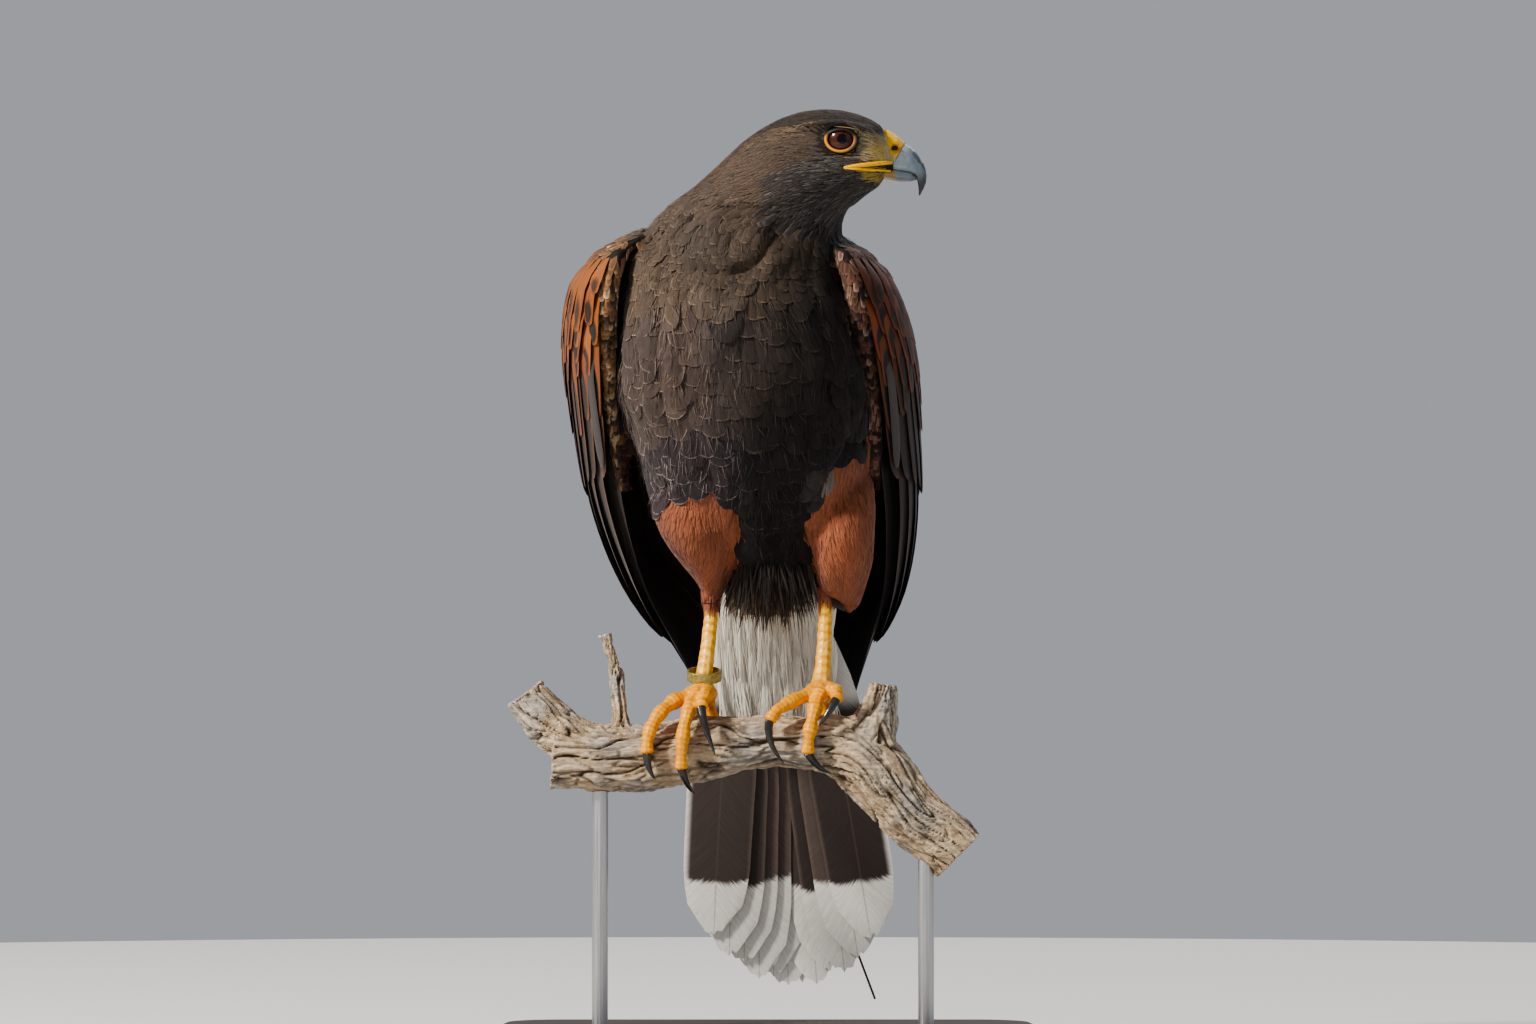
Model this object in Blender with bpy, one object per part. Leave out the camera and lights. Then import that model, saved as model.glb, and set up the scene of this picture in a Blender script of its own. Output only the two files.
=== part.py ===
"""A perched Harris's hawk, life size, with a short cut length of its dead branch on a plain display stand.

Metres, +Z up. The hawk's breast faces -Y, its head is turned to +X, and its right side is at -X.
The origin is the middle of the stand's underside. Sizes in the tables below are millimetres.
"""

import math
import random

import bpy
import bmesh
from mathutils import Matrix, Vector
from mathutils.bvhtree import BVHTree

MM = 0.001
GAP = 0.3  # what touching pieces keep between them
TORSO_GAP = 0.5  # and beside the torso, whose faces are the widest
RIGHT, LEFT = -1, 1  # the bird's own sides, along X

# Driving sizes of the bird
TAIL_LENGTH = 228.0
TAIL_FEATHERS = 12
TAIL_FEATHER_HALF_WIDTH = 17.5
VANE_THICK = 0.55
EYE_RADIUS = 8.6
EYE_DEPTH = 5.6  # from the eye's middle out to the rim of its socket
TARSUS_RADIUS = 3.45
TOE_RADIUS = 3.7
TOE_PAD = 1.1  # its joints against the spans between them
TOE_TAPER = 0.3
CLAW_RADIUS = 2.3
CLAW_ROOT = 2.2  # how far a claw starts inside its toe
CLAW_STEPS = 5

# Driving sizes of the stand
BASE_SIZE = (270.0, 190.0, 18.0)
BASE_CORNER = 30.0
BASE_BEVEL = 3.0
ROD_RADIUS = 4.0
ROD_SIDES = 16
ROD_PLACES = {"stand_rod_left": -84.0, "stand_rod_right": 79.0}

# The body leans a little to the bird's right: its middle line, as seen from the front
LEAN = -0.103
LEAN_X, LEAN_Z = 0.5, 231.5

# Torso from vent to shoulders: height, half width, front, back
TORSO = (
    (225.0, 10.0, 26.0, 72.0),
    (234.0, 21.0, 12.0, 77.0),
    (247.0, 33.0, -3.0, 79.0),
    (262.0, 45.0, -19.0, 77.0),
    (281.0, 54.0, -36.0, 72.0),
    (302.0, 59.0, -52.0, 65.5),
    (326.0, 61.0, -64.0, 58.0),
    (352.0, 60.0, -71.0, 49.0),
    (376.0, 57.0, -72.0, 39.0),
    (394.0, 53.0, -67.0, 30.0),
)

# Neck and head: nape side (x, z), throat side (x, z), then how far they go to the right cheek and the left
NECK = (
    ((-66.0, 409.0), (39.0, 405.5), -65.0, 21.0),
    ((-60.0, 419.5), (38.5, 412.5), -62.0, 12.0),
    ((-48.0, 430.0), (39.0, 419.0), -61.0, 4.0),
    ((-34.0, 441.0), (41.0, 425.5), -61.0, -3.0),
    ((-22.0, 452.0), (45.0, 430.5), -61.5, -7.0),
)
HEAD = (
    ((-10.5, 462.5), (50.0, 434.5), -62.0, -9.0),
    ((3.5, 471.0), (54.5, 437.0), -62.5, -9.5),
    ((17.5, 475.8), (58.0, 439.0), -61.5, -10.5),
    ((32.0, 476.8), (60.5, 440.3), -59.0, -13.0),
    ((45.0, 474.3), (62.5, 441.3), -55.0, -17.0),
    ((54.5, 470.0), (63.5, 442.3), -50.0, -22.0),
    ((60.0, 464.5), (63.8, 443.8), -45.0, -27.0),
)
NECK_STEPS, NECK_HEAD_STEPS = 5, 16
TORSO_STEPS = 11
BODY_SIDES = 24
BODY_FORM = 2.25  # a little boxier than an ellipse
VENT_DROP = 3.0
FACE_DOME = 1.5
HEAD_MIDDLE_Y = -36.0
EYE = (35.8, 460.4)
EYE_WAY = (0.16, 0.04)  # how far the eye looks forwards and up, for 1 outwards
NOSTRIL = (63.6, 456.6)
NOSTRIL_RADII = (1.7, 1.6, 1.3)
LID = {"sides": 12, "out": 0.9, "under": 0.4, "radius": 1.15}
BROW = (  # x, z, how far off the cheek, radius
    (22.0, 466.0, -0.8, 1.2),
    (29.0, 467.6, 0.4, 2.1),
    (38.0, 468.0, 1.2, 2.4),
    (47.0, 467.2, 1.0, 2.1),
    (55.0, 465.2, 0.0, 1.2),
)
LIPS = (((38.5, 448.1), (59.0, 449.3)), ((40.4, 445.8), (56.0, 444.3)))
LIP_STEPS = 4
LIP_RADIUS = 0.75

# Bill: culmen side (x, z), edge side (x, z), half width
BILL_SIDES = 14
HOOK_STEPS = 9
CERE = (
    ((54.0, 466.0), (52.0, 449.0), 8.0),
    ((59.5, 465.8), (57.0, 448.2), 9.6),
    ((64.5, 462.8), (59.5, 447.9), 9.0),
    ((67.8, 459.6), (61.0, 447.7), 8.0),
)
HOOK = (
    ((68.1, 459.3), (61.3, 447.4), 7.8),
    ((71.5, 457.0), (65.6, 447.2), 6.9),
    ((75.0, 453.2), (70.0, 446.4), 5.5),
    ((77.6, 448.4), (73.2, 444.9), 4.1),
    ((78.7, 443.1), (74.3, 441.9), 2.9),
    ((77.9, 438.2), (74.8, 438.4), 1.7),
    ((75.6, 434.6), (74.9, 434.6), 0.5),
)
LOWER_BILL = (
    ((50.0, 446.9), (50.0, 443.6), 9.0),
    ((58.0, 446.9), (58.5, 441.8), 8.6),
    ((65.0, 446.5), (65.5, 440.6), 6.4),
    ((70.5, 445.4), (71.0, 440.6), 4.4),
    ((73.3, 443.3), (73.5, 441.2), 2.0),
)

# Folded wing at heights, as a level arc: leading edge (out, y), back edge (out, y), how far it bulges
WING = (
    (418.0, 40.0, -32.0, 32.0, -2.0, 10.8),
    (408.0, 54.0, -50.0, 37.0, 12.0, 20.5),
    (394.0, 61.0, -57.0, 37.0, 28.0, 28.8),
    (362.0, 65.0, -46.0, 30.0, 51.0, 39.5),
    (322.0, 68.0, -19.0, 24.0, 72.0, 41.5),
    (282.0, 67.0, 10.0, 19.0, 88.0, 41.0),
    (242.0, 60.0, 44.0, 14.0, 101.0, 34.0),
    (206.0, 49.0, 76.0, 11.0, 111.0, 19.0),
    (165.0, 34.0, 97.0, 9.0, 119.0, 7.0),
    (122.0, 22.0, 113.0, 8.0, 125.0, 3.0),
)
# Down the wing its outer feathers end, and the ones under them come out to the outline: height, by how much
RELIEF = ((122.0, 5.2), (170.0, 5.2), (205.0, 4.2), (240.0, 3.4), (270.0, 1.9), (300.0, 0.4), (330.0, 0.0))
SPREAD = {RIGHT: 3.0, LEFT: -2.6}  # the right wing is held a little further off the body
LEAN_TOP = 388.0  # the shoulders stand upright above this height

# Flesh and small coverts of a wing: height, depth under the outer surface, thickness amid the chord.
# It steps down just below the roots of each tier of feathers.
WING_CORE = (
    (417.5, 3.2, 8.0),
    (412.5, 1.2, 16.0),
    (404.0, 0.2, 22.0),
    (391.0, 0.0, 26.0),
    (377.0, 0.2, 25.0),
    (366.0, 1.2, 23.0),
    (353.0, 3.9, 19.0),
    (344.0, 3.9, 18.0),
    (331.0, 6.6, 14.0),
    (322.5, 6.6, 13.0),
    (311.0, 11.0, 6.0),
    (300.0, 11.6, 2.0),
)

# Tiers of wing feathers: count, root height, tip heights, root chord shares, tip chord shares,
# half width, depth under the wing's outer surface
WING_TIERS = (
    ("primaries", 5, 322.0, (128.0, 172.0), (0.05, 0.25), (0.20, 0.78), 8.0, 7.9),
    ("secondaries", 7, 343.5, (214.0, 203.0), (0.17, 0.92), (0.14, 0.90), 12.2, 4.5),
    ("greater_coverts", 7, 365.5, (294.0, 268.0), (0.09, 0.92), (0.09, 0.92), 11.6, 1.8),
)
PRIMARY_CURVE = (14.0, 6.0)  # how the tips of the primaries leave a straight line, up and down
CORE_STEPS = 6  # round the chord of the wing's flesh
CORE_EDGE = 1.2
CORE_THIN = 3.0
HAND = {"top": 405.0, "long": 117.0, "share": 0.03, "steps": 6}
ROOM_HEIGHTS = (326.0, 300.0, 270.0, 240.0, 215.0, 200.0)
ROOM_LEVELS = (2.0, -13.4)
ROOM_MARGIN = 8.0
STACK_STEP = 0.95  # between stacked vanes
DIP_STEP = 1.1  # how far a vane drops over the distance to the next one
ROOT_SINK = 3.2  # how deep a feather's root sits in the flesh
ROOT_RUN = 12.5  # how far it takes to come out
FLIGHT_SHARES = ((0.36, 0.97), (0.66, 1.0), (0.92, 0.74), (1.0, 0.24))
COVERT_SHARES = ((0.5, 1.0), (0.84, 0.84), (1.0, 0.28))

# Tail: where it leaves the body, and the way that it runs
TAIL_ROOT = Vector((1.0, 64.0, 250.0))
TAIL_WAY = Vector((0.058, 0.30, -0.952)).normalized()
TAIL_LAYER = 0.9
TAIL_STEPS = {RIGHT: 2.5, LEFT: 0.6}  # how much shorter each feather is than the one inside it
TAIL_SPREAD = (2.4, 7.3)  # between neighbouring shafts, at the root and at the tip
TAIL_ROUNDING = 0.78  # how the tail's tip curves back outwards
TAIL_SAG = 0.0009
TAIL_FEATHER_START = 6.0
TAIL_BLOCK_SIDES = 14
TAIL_BLOCK_FORM = 0.7
TAIL_SHARES = ((0.0, 0.34), (0.12, 0.42), (0.3, 0.82), (0.55, 1.0), (0.86, 0.97), (0.965, 0.66), (1.0, 0.24))

# Legs: ring middles (x, y, z), then half width and half depth
THIGHS = {
    RIGHT: (
        (-44.0, 10.0, 296.0, 13.0, 22.0),
        (-42.0, -1.0, 279.0, 17.0, 24.0),
        (-36.5, -4.0, 263.0, 17.0, 21.5),
        (-31.0, 2.0, 250.0, 13.0, 16.0),
        (-28.3, 9.0, 240.0, 7.5, 9.0),
        (-27.8, 12.5, 233.0, 4.8, 5.6),
    ),
    LEFT: (
        (41.0, 12.0, 300.0, 13.0, 20.0),
        (39.0, 1.0, 283.0, 17.0, 25.0),
        (37.5, -3.0, 266.0, 17.8, 25.0),
        (37.0, 2.0, 251.0, 17.0, 22.0),
        (36.5, 9.0, 240.0, 13.5, 16.0),
        (39.0, 17.0, 231.0, 8.5, 10.0),
        (40.5, 22.0, 226.0, 3.5, 5.0),
    ),
}
TARSI = {
    RIGHT: (
        (-28.0, 13.0, 246.0),
        (-28.4, 11.5, 226.0),
        (-30.3, 8.0, 207.0),
        (-31.8, 5.0, 195.0),
        (-32.6, 2.6, 189.0),
    ),
    LEFT: (
        (29.2, 13.0, 246.0),
        (28.8, 11.5, 226.0),
        (28.0, 8.0, 207.0),
        (27.2, 5.0, 196.0),
        (26.6, 2.6, 190.0),
    ),
}
TARSUS_RADII = (TARSUS_RADIUS, TARSUS_RADIUS, TARSUS_RADIUS + 0.3, 4.3, 5.4)
HUBS = {RIGHT: (-33.0, 0.5, 185.6), LEFT: (26.4, 0.5, 186.4)}
HUB_RADII = (7.4, 8.0, 5.6)

# Toes from the hub over the perch, then their claws: digit 1 is the hind toe, 2 the inner and 4 the outer one
TOES = {
    (RIGHT, 1): ((-31.5, 7.0, 185.5), (-29.5, 15.5, 181.5), (-28.0, 21.5, 172.0)),
    (RIGHT, 2): ((-31.5, -5.0, 185.0), (-31.8, -12.0, 184.0), (-33.2, -18.5, 180.0)),
    (RIGHT, 3): (
        (-35.0, -5.0, 185.0),
        (-38.5, -13.5, 180.0),
        (-41.8, -20.5, 169.0),
        (-43.0, -21.5, 158.0),
        (-43.2, -20.0, 149.5),
    ),
    (RIGHT, 4): (
        (-38.0, -2.5, 185.0),
        (-47.5, -8.5, 181.5),
        (-56.0, -16.5, 173.5),
        (-60.0, -20.5, 163.5),
        (-60.2, -20.5, 157.0),
    ),
    (LEFT, 1): ((27.5, 7.0, 186.5), (28.8, 14.5, 183.0), (29.5, 20.0, 173.5)),
    (LEFT, 2): ((22.5, -3.5, 186.0), (13.5, -10.5, 182.5), (5.0, -16.5, 178.0), (1.2, -18.5, 173.0)),
    (LEFT, 3): ((26.0, -5.5, 185.5), (23.4, -13.5, 178.5), (20.8, -18.6, 167.0), (19.8, -17.8, 157.0)),
    (LEFT, 4): ((31.0, -2.5, 187.0), (33.6, -9.0, 187.0), (34.2, -15.0, 183.5)),
}
CLAWS = {
    (RIGHT, 1): ((-28.0, 21.8, 168.0), (-28.2, 21.0, 157.0), (-29.5, 15.5, 145.5)),
    (RIGHT, 2): ((-33.8, -21.0, 177.6), (-31.4, -25.5, 168.0), (-26.0, -24.0, 155.0)),
    (RIGHT, 3): ((-43.0, -19.2, 146.8), (-41.5, -17.5, 140.5), (-36.5, -13.0, 135.6)),
    (RIGHT, 4): ((-60.4, -20.8, 154.0), (-60.6, -20.6, 148.5), (-56.0, -18.8, 143.0)),
    (LEFT, 1): ((29.5, 20.4, 169.5), (29.2, 19.0, 158.5), (28.0, 13.5, 147.5)),
    (LEFT, 2): ((-0.4, -19.8, 170.6), (-1.8, -21.6, 162.0), (8.0, -17.2, 151.0)),
    (LEFT, 3): ((20.2, -17.0, 154.2), (23.5, -15.2, 148.6), (31.5, -14.0, 146.0)),
    (LEFT, 4): ((33.2, -18.0, 181.6), (30.0, -20.8, 175.5), (25.0, -19.4, 169.5)),
}

BAND = {"middle": (-31.9, 4.4, 194.6), "outer": 8.7, "wall": 1.1, "height": 5.2, "tilt": 14.0, "sides": 16}

# Perch: middle line (x, z) and radius, the broken knuckle and the twig that stand up from it
PERCH = (
    (-108.0, 155.0, 17.5),
    (-84.0, 153.5, 17.5),
    (-59.0, 154.0, 17.0),
    (-34.0, 157.5, 17.0),
    (-9.0, 161.0, 14.2),
    (16.0, 161.0, 13.6),
    (36.0, 159.0, 16.0),
    (50.0, 151.5, 18.5),
    (61.0, 138.0, 17.8),
    (73.0, 125.5, 16.2),
    (85.5, 115.0, 15.4),
    (96.0, 105.0, 15.6),
)
PERCH_STEPS = 23
PERCH_SIDES = 14
PERCH_SEED = 11
KNUCKLE = (
    (50.0, 0.0, 160.0, 15.0),
    (54.0, 1.0, 172.0, 12.0),
    (56.5, 2.0, 183.0, 9.0),
    (57.5, 2.0, 191.0, 7.6),
)
FORK = (
    (-88.0, 0.0, 156.0, 14.5),
    (-104.0, 0.0, 166.0, 13.5),
    (-114.0, -1.0, 176.0, 12.5),
    (-122.0, -1.0, 186.0, 11.5),
)
TWIG = (
    (-73.0, 2.0, 160.0, 6.5),
    (-74.0, 3.0, 176.0, 5.0),
    (-75.5, 4.0, 194.0, 4.5),
    (-81.5, 5.0, 215.0, 3.2),
)

# White coverts of the tail: rows of the flesh (along, half width, low, high), then tiers of feathers
# (count, height at the root, spread, root, tip, half width)
UNDER_COVERTS = {
    "side": -1,
    "tip_level": -13.0,
    "rows": (
        (2.0, 20.0, -32.0, -12.4),
        (16.0, 30.0, -37.0, -12.4),
        (32.0, 34.0, -33.0, -12.4),
        (48.0, 31.0, -27.0, -12.4),
        (62.0, 24.0, -21.0, -12.4),
        (70.0, 14.0, -16.5, -12.4),
    ),
    "tiers": ((6, -23.0, 25.0, 34.0, 84.0, 8.0), (5, -29.0, 22.0, 20.0, 62.0, 8.0)),
}
UPPER_COVERTS = {
    "side": 1,
    "tip_level": 2.6,
    "rows": (
        (10.0, 16.0, 1.8, 11.0),
        (24.0, 21.0, 1.8, 13.0),
        (38.0, 21.0, 1.8, 11.0),
        (50.0, 17.0, 1.8, 8.0),
        (60.0, 10.0, 1.8, 4.5),
    ),
    "tiers": ((5, 6.0, 16.0, 36.0, 76.0, 8.0),),
}
COVERT_VANE = ((0.0, 0.7), (0.4, 1.0), (0.8, 0.8), (1.0, 0.28))

# Radio on the back of the tail: how far down it, how far off the stack, and its size
RADIO = {"along": 92.0, "off": 6.4, "size": (8.6, 7.0, 24.0)}
AERIAL_TIP = Vector((55.0, 142.0, 26.0))
AERIAL_RADIUS = 0.6

COLOURS = {
    "plumage": ((0.055, 0.038, 0.03), 0.7, 0.0),
    "chestnut": ((0.25, 0.085, 0.03), 0.7, 0.0),
    "flight": ((0.03, 0.022, 0.02), 0.6, 0.0),
    "white": ((0.7, 0.68, 0.6), 0.7, 0.0),
    "skin": ((0.85, 0.48, 0.04), 0.45, 0.0),
    "horn": ((0.03, 0.028, 0.03), 0.3, 0.0),
    "bill": ((0.2, 0.25, 0.28), 0.3, 0.0),
    "eye": ((0.08, 0.025, 0.01), 0.05, 0.0),
    "wood": ((0.4, 0.33, 0.24), 0.85, 0.0),
    "stand": ((0.05, 0.04, 0.035), 0.4, 0.0),
    "steel": ((0.5, 0.5, 0.52), 0.3, 1.0),
    "band": ((0.4, 0.36, 0.12), 0.4, 0.8),
    "rubber": ((0.02, 0.02, 0.02), 0.5, 0.0),
}


def clear_scene():
    for item in list(bpy.data.objects):
        bpy.data.objects.remove(item)


def material(name):
    found = bpy.data.materials.get(name)
    if found:
        return found
    colour, roughness, metallic = COLOURS[name]
    made = bpy.data.materials.new(name)
    made.use_nodes = True
    shader = made.node_tree.nodes["Principled BSDF"]
    shader.inputs["Base Color"].default_value = (*colour, 1.0)
    shader.inputs["Roughness"].default_value = roughness
    shader.inputs["Metallic"].default_value = metallic
    return made


def mesh_object(name, points, faces, finish=None):
    """A closed mesh from points in millimetres, with its faces turned outwards."""
    form = bmesh.new()
    corners = [form.verts.new(Vector(p) * MM) for p in points]
    for face in faces:
        form.faces.new([corners[i] for i in face])
    bmesh.ops.recalc_face_normals(form, faces=form.faces)
    mesh = bpy.data.meshes.new(name)
    form.to_mesh(mesh)
    form.free()
    made = bpy.data.objects.new(name, mesh)
    bpy.context.scene.collection.objects.link(made)
    if finish:
        dress(made, finish)
    return made


def dress(item, finish):
    item.data.materials.clear()
    item.data.materials.append(material(finish))
    item.data.shade_smooth()
    item.data.set_sharp_from_angle(angle=math.radians(40))


def evaluated_mesh(item):
    graph = bpy.context.evaluated_depsgraph_get()
    return bpy.data.meshes.new_from_object(item.evaluated_get(graph))


def largest_surface(mesh):
    """Keeps only the closed surface of a mesh that holds the most."""
    form = bmesh.new()
    form.from_mesh(mesh)
    seen = set()
    groups = []
    for start in form.faces:
        if start in seen:
            continue
        group, front, volume = [], [start], 0.0
        seen.add(start)
        while front:
            face = front.pop()
            group.append(face)
            corners = [v.co for v in face.verts]
            for b, c in zip(corners[1:], corners[2:]):
                volume += corners[0].dot(b.cross(c))
            for edge in face.edges:
                for other in edge.link_faces:
                    if other not in seen:
                        seen.add(other)
                        front.append(other)
        groups.append((volume, len(groups), group))
    groups.sort()
    loose = [face for _, _, group in groups[:-1] for face in group]
    bmesh.ops.delete(form, geom=loose, context="FACES")
    form.to_mesh(mesh)
    form.free()


def boolean(item, others, operation):
    """Joins or cuts item with other closed meshes, applies the result and removes the others."""
    group = bpy.data.collections.new("tools")
    bpy.context.scene.collection.children.link(group)
    for other in others:
        group.objects.link(other)
    step = item.modifiers.new(operation.lower(), "BOOLEAN")
    step.operation = operation
    step.solver = "EXACT"
    step.operand_type = "COLLECTION"
    step.collection = group
    made = evaluated_mesh(item)
    item.modifiers.clear()
    item.data = made
    for other in others:
        bpy.data.objects.remove(other)
    bpy.data.collections.remove(group)
    largest_surface(made)
    return item


def grown(item, by=GAP):
    """A copy of a closed mesh, pushed out along its normals."""
    mesh = item.data.copy()
    normals = [v.normal.copy() for v in mesh.vertices]
    for vertex, normal in zip(mesh.vertices, normals):
        vertex.co += normal * by * MM
    copy = bpy.data.objects.new(item.name + "_room", mesh)
    bpy.context.scene.collection.objects.link(copy)
    return copy


def make_room(item, other, by=GAP):
    """Cuts item clear of the other one, which stays as it is."""
    return boolean(item, [grown(other, by)], "DIFFERENCE")


def interpolated(rows, at):
    """A smooth curve through rows of numbers, read where their first number has the value at."""
    keys = [row[0] for row in rows]
    if keys[0] > keys[-1]:
        rows, keys = rows[::-1], keys[::-1]
    at = min(max(at, keys[0]), keys[-1])
    i = max(0, min(len(keys) - 2, sum(k <= at for k in keys) - 1))
    q = (at - keys[i]) / (keys[i + 1] - keys[i])

    def slope(k, c):
        lo, hi = max(k - 1, 0), min(k + 1, len(rows) - 1)
        return (rows[hi][c] - rows[lo][c]) / (keys[hi] - keys[lo])

    span = keys[i + 1] - keys[i]
    found = []
    for c in range(len(rows[0])):
        a, b = rows[i][c], rows[i + 1][c]
        ta, tb = slope(i, c) * span, slope(i + 1, c) * span
        from_a = (2 * q**3 - 3 * q**2 + 1) * a + (q**3 - 2 * q**2 + q) * ta
        found.append(from_a + (3 * q**2 - 2 * q**3) * b + (q**3 - q**2) * tb)
    return found


def smooth_path(points, steps):
    """Points along a smooth curve through the given ones, with any further numbers carried along."""
    rows = [(float(i), *p) for i, p in enumerate(points)]
    return [tuple(interpolated(rows, (len(points) - 1) * k / steps)[1:]) for k in range(steps + 1)]


def power(value, exponent):
    return math.copysign(abs(value) ** exponent, value)


def oval(outer, inner, low, high, count, outer_form=2.2, inner_form=2.2):
    """A ring through outer and inner, which are (x, z), and from low to high in y."""
    outer, inner = Vector((outer[0], 0, outer[1])), Vector((inner[0], 0, inner[1]))
    middle = (outer + inner) / 2 + Vector((0, (low + high) / 2, 0))
    across, deep = (outer - inner) / 2, Vector((0, (high - low) / 2, 0))
    ring = []
    for k in range(count):
        turn = 2 * math.pi * k / count
        form = 2 / (outer_form if math.cos(turn) >= 0 else inner_form)
        ring.append(middle + across * power(math.cos(turn), form) + deep * power(math.sin(turn), form))
    return ring


def loft(name, rings, finish=None, start_pole=None, end_pole=None):
    """A skin over rings of like count, closed by a flat end or drawn to a pole."""
    count = len(rings[0])
    points = [p for ring in rings for p in ring]
    faces = []
    for r in range(len(rings) - 1):
        for k in range(count):
            n = (k + 1) % count
            faces.append((r * count + k, r * count + n, (r + 1) * count + n, (r + 1) * count + k))
    for pole, first in ((start_pole, 0), (end_pole, (len(rings) - 1) * count)):
        if pole is None:
            faces.append(tuple(first + k for k in range(count)))
            continue
        points.append(pole)
        tip = len(points) - 1
        faces += [(first + k, first + (k + 1) % count, tip) for k in range(count)]
    return mesh_object(name, points, faces, finish)


def tube(name, stations, sides, finish=None, flat_ends=False):
    """A round bar through (x, y, z, radius) stations, turned smoothly along its way."""
    places = [Vector(s[:3]) for s in stations]
    ways = []
    for i in range(len(places)):
        a, b = places[max(i - 1, 0)], places[min(i + 1, len(places) - 1)]
        ways.append((b - a).normalized())
    side = ways[0].orthogonal().normalized()
    rings = []
    for place, way, station in zip(places, ways, stations):
        side = (side - way * side.dot(way)).normalized()
        other = way.cross(side)
        rings.append(
            [
                place + (side * math.cos(a) + other * math.sin(a)) * station[3]
                for a in (2 * math.pi * k / sides for k in range(sides))
            ]
        )
    ends = [None, None]
    if not flat_ends:
        ends = [places[0] - ways[0] * stations[0][3] * 0.6, places[-1] + ways[-1] * stations[-1][3] * 0.6]
    return loft(name, rings, finish, *ends)


def ball(name, middle, radii, rings=10, sides=16, way=(0, 0, 1), finish=None):
    """An ellipsoid with its poles along the given way."""
    turn = Vector((0, 0, 1)).rotation_difference(Vector(way)).to_matrix()
    rows = []
    for r in range(1, rings):
        a = math.pi * r / rings
        rows.append(
            [
                Vector(middle)
                + turn
                @ Vector(
                    (
                        radii[0] * math.sin(a) * math.cos(2 * math.pi * k / sides),
                        radii[1] * math.sin(a) * math.sin(2 * math.pi * k / sides),
                        radii[2] * math.cos(a),
                    )
                )
                for k in range(sides)
            ]
        )
    top = Vector(middle) + turn @ Vector((0, 0, radii[2]))
    bottom = Vector(middle) - turn @ Vector((0, 0, radii[2]))
    return loft(name, rows, finish, top, bottom)


def vane(name, place, half_width, stations, thick=VANE_THICK, sink=0.0, columns=3):
    """A thin feather through (share of length, share of width) stations, its root sunk by the given depth.

    place(share, across, up) gives a point. Both faces are split into triangles alike.
    """
    points, faces = [], []
    spots = [2 * c / (columns - 1) - 1 for c in range(columns)]
    for r, (share, width) in enumerate(stations):
        half = half_width * width
        down = sink if r == 0 else 0.0
        for drop in (down, down + thick):
            points += [place(share, c * half, -drop) for c in spots]
    row = 2 * columns
    for r in range(len(stations) - 1):
        a, b = row * r, row * (r + 1)
        for face in (0, columns):
            for c in range(columns - 1):
                i, j = a + face + c, b + face + c
                faces += [(i, i + 1, j + 1), (i, j + 1, j)]
        for edge in (0, columns - 1):
            i, j = a + edge, b + edge
            faces += [(i, j, j + columns), (i, j + columns, i + columns)]
    for end in (0, row * (len(stations) - 1)):
        for c in range(columns - 1):
            i = end + c
            faces += [(i, i + 1, i + columns + 1), (i, i + columns + 1, i + columns)]
    return mesh_object(name, points, faces)


def lean_x(z):
    return LEAN_X + LEAN * (z - LEAN_Z)


def build_torso_neck_head():
    """One body form, parted into torso, neck and head by flat gaps across its line."""
    torso = []
    for k in range(TORSO_STEPS + 1):
        z = TORSO[0][0] + (TORSO[-1][0] - TORSO[0][0]) * k / TORSO_STEPS
        _, half, front, back = interpolated(TORSO, z)
        middle = lean_x(z)
        torso.append(((middle - half, z), (middle + half, z), front, back))
    stations = [(*outer, *inner, low, high) for outer, inner, low, high in NECK + HEAD]
    rows = smooth_path(stations, NECK_HEAD_STEPS)
    upper = [((r[0], r[1]), (r[2], r[3]), r[4], r[5]) for r in rows]

    def rings(row_list):
        return [oval(*row, BODY_SIDES, BODY_FORM, BODY_FORM) for row in row_list]

    (ox, oz), (ix, iz), low, high = upper[0]
    torso.append(((ox, oz - GAP), (ix, iz - GAP), low, high))
    join = upper[NECK_STEPS]
    across = Vector((join[1][0] - join[0][0], 0, join[1][1] - join[0][1]))
    onward = across.cross(Vector((0, 1, 0))).normalized()
    torso_rings = rings(torso)
    neck_rings = rings(upper[: NECK_STEPS + 1])
    head_rings = rings(upper[NECK_STEPS:])
    head_rings[0] = [point + onward * GAP for point in head_rings[0]]
    vent = sum(torso_rings[0], Vector()) / BODY_SIDES - Vector((0, 0, VENT_DROP))
    face = sum(head_rings[-1], Vector()) / BODY_SIDES + Vector((FACE_DOME, 0, 0))
    return (
        loft("torso", torso_rings, "plumage", vent, None),
        loft("neck", neck_rings, "plumage"),
        loft("head", head_rings, "plumage", None, face),
    )


def side_surface(item, x, z, side):
    """The y of a head's cheek at x and z, on the side of the sign given."""
    tree = BVHTree.FromObject(item, bpy.context.evaluated_depsgraph_get())
    start = Vector((x, HEAD_MIDDLE_Y + side * 100.0, z)) * MM
    hit = tree.ray_cast(start, Vector((0, -side, 0)))[0]
    return hit.y / MM if hit else HEAD_MIDDLE_Y + side * 10.0


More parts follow.
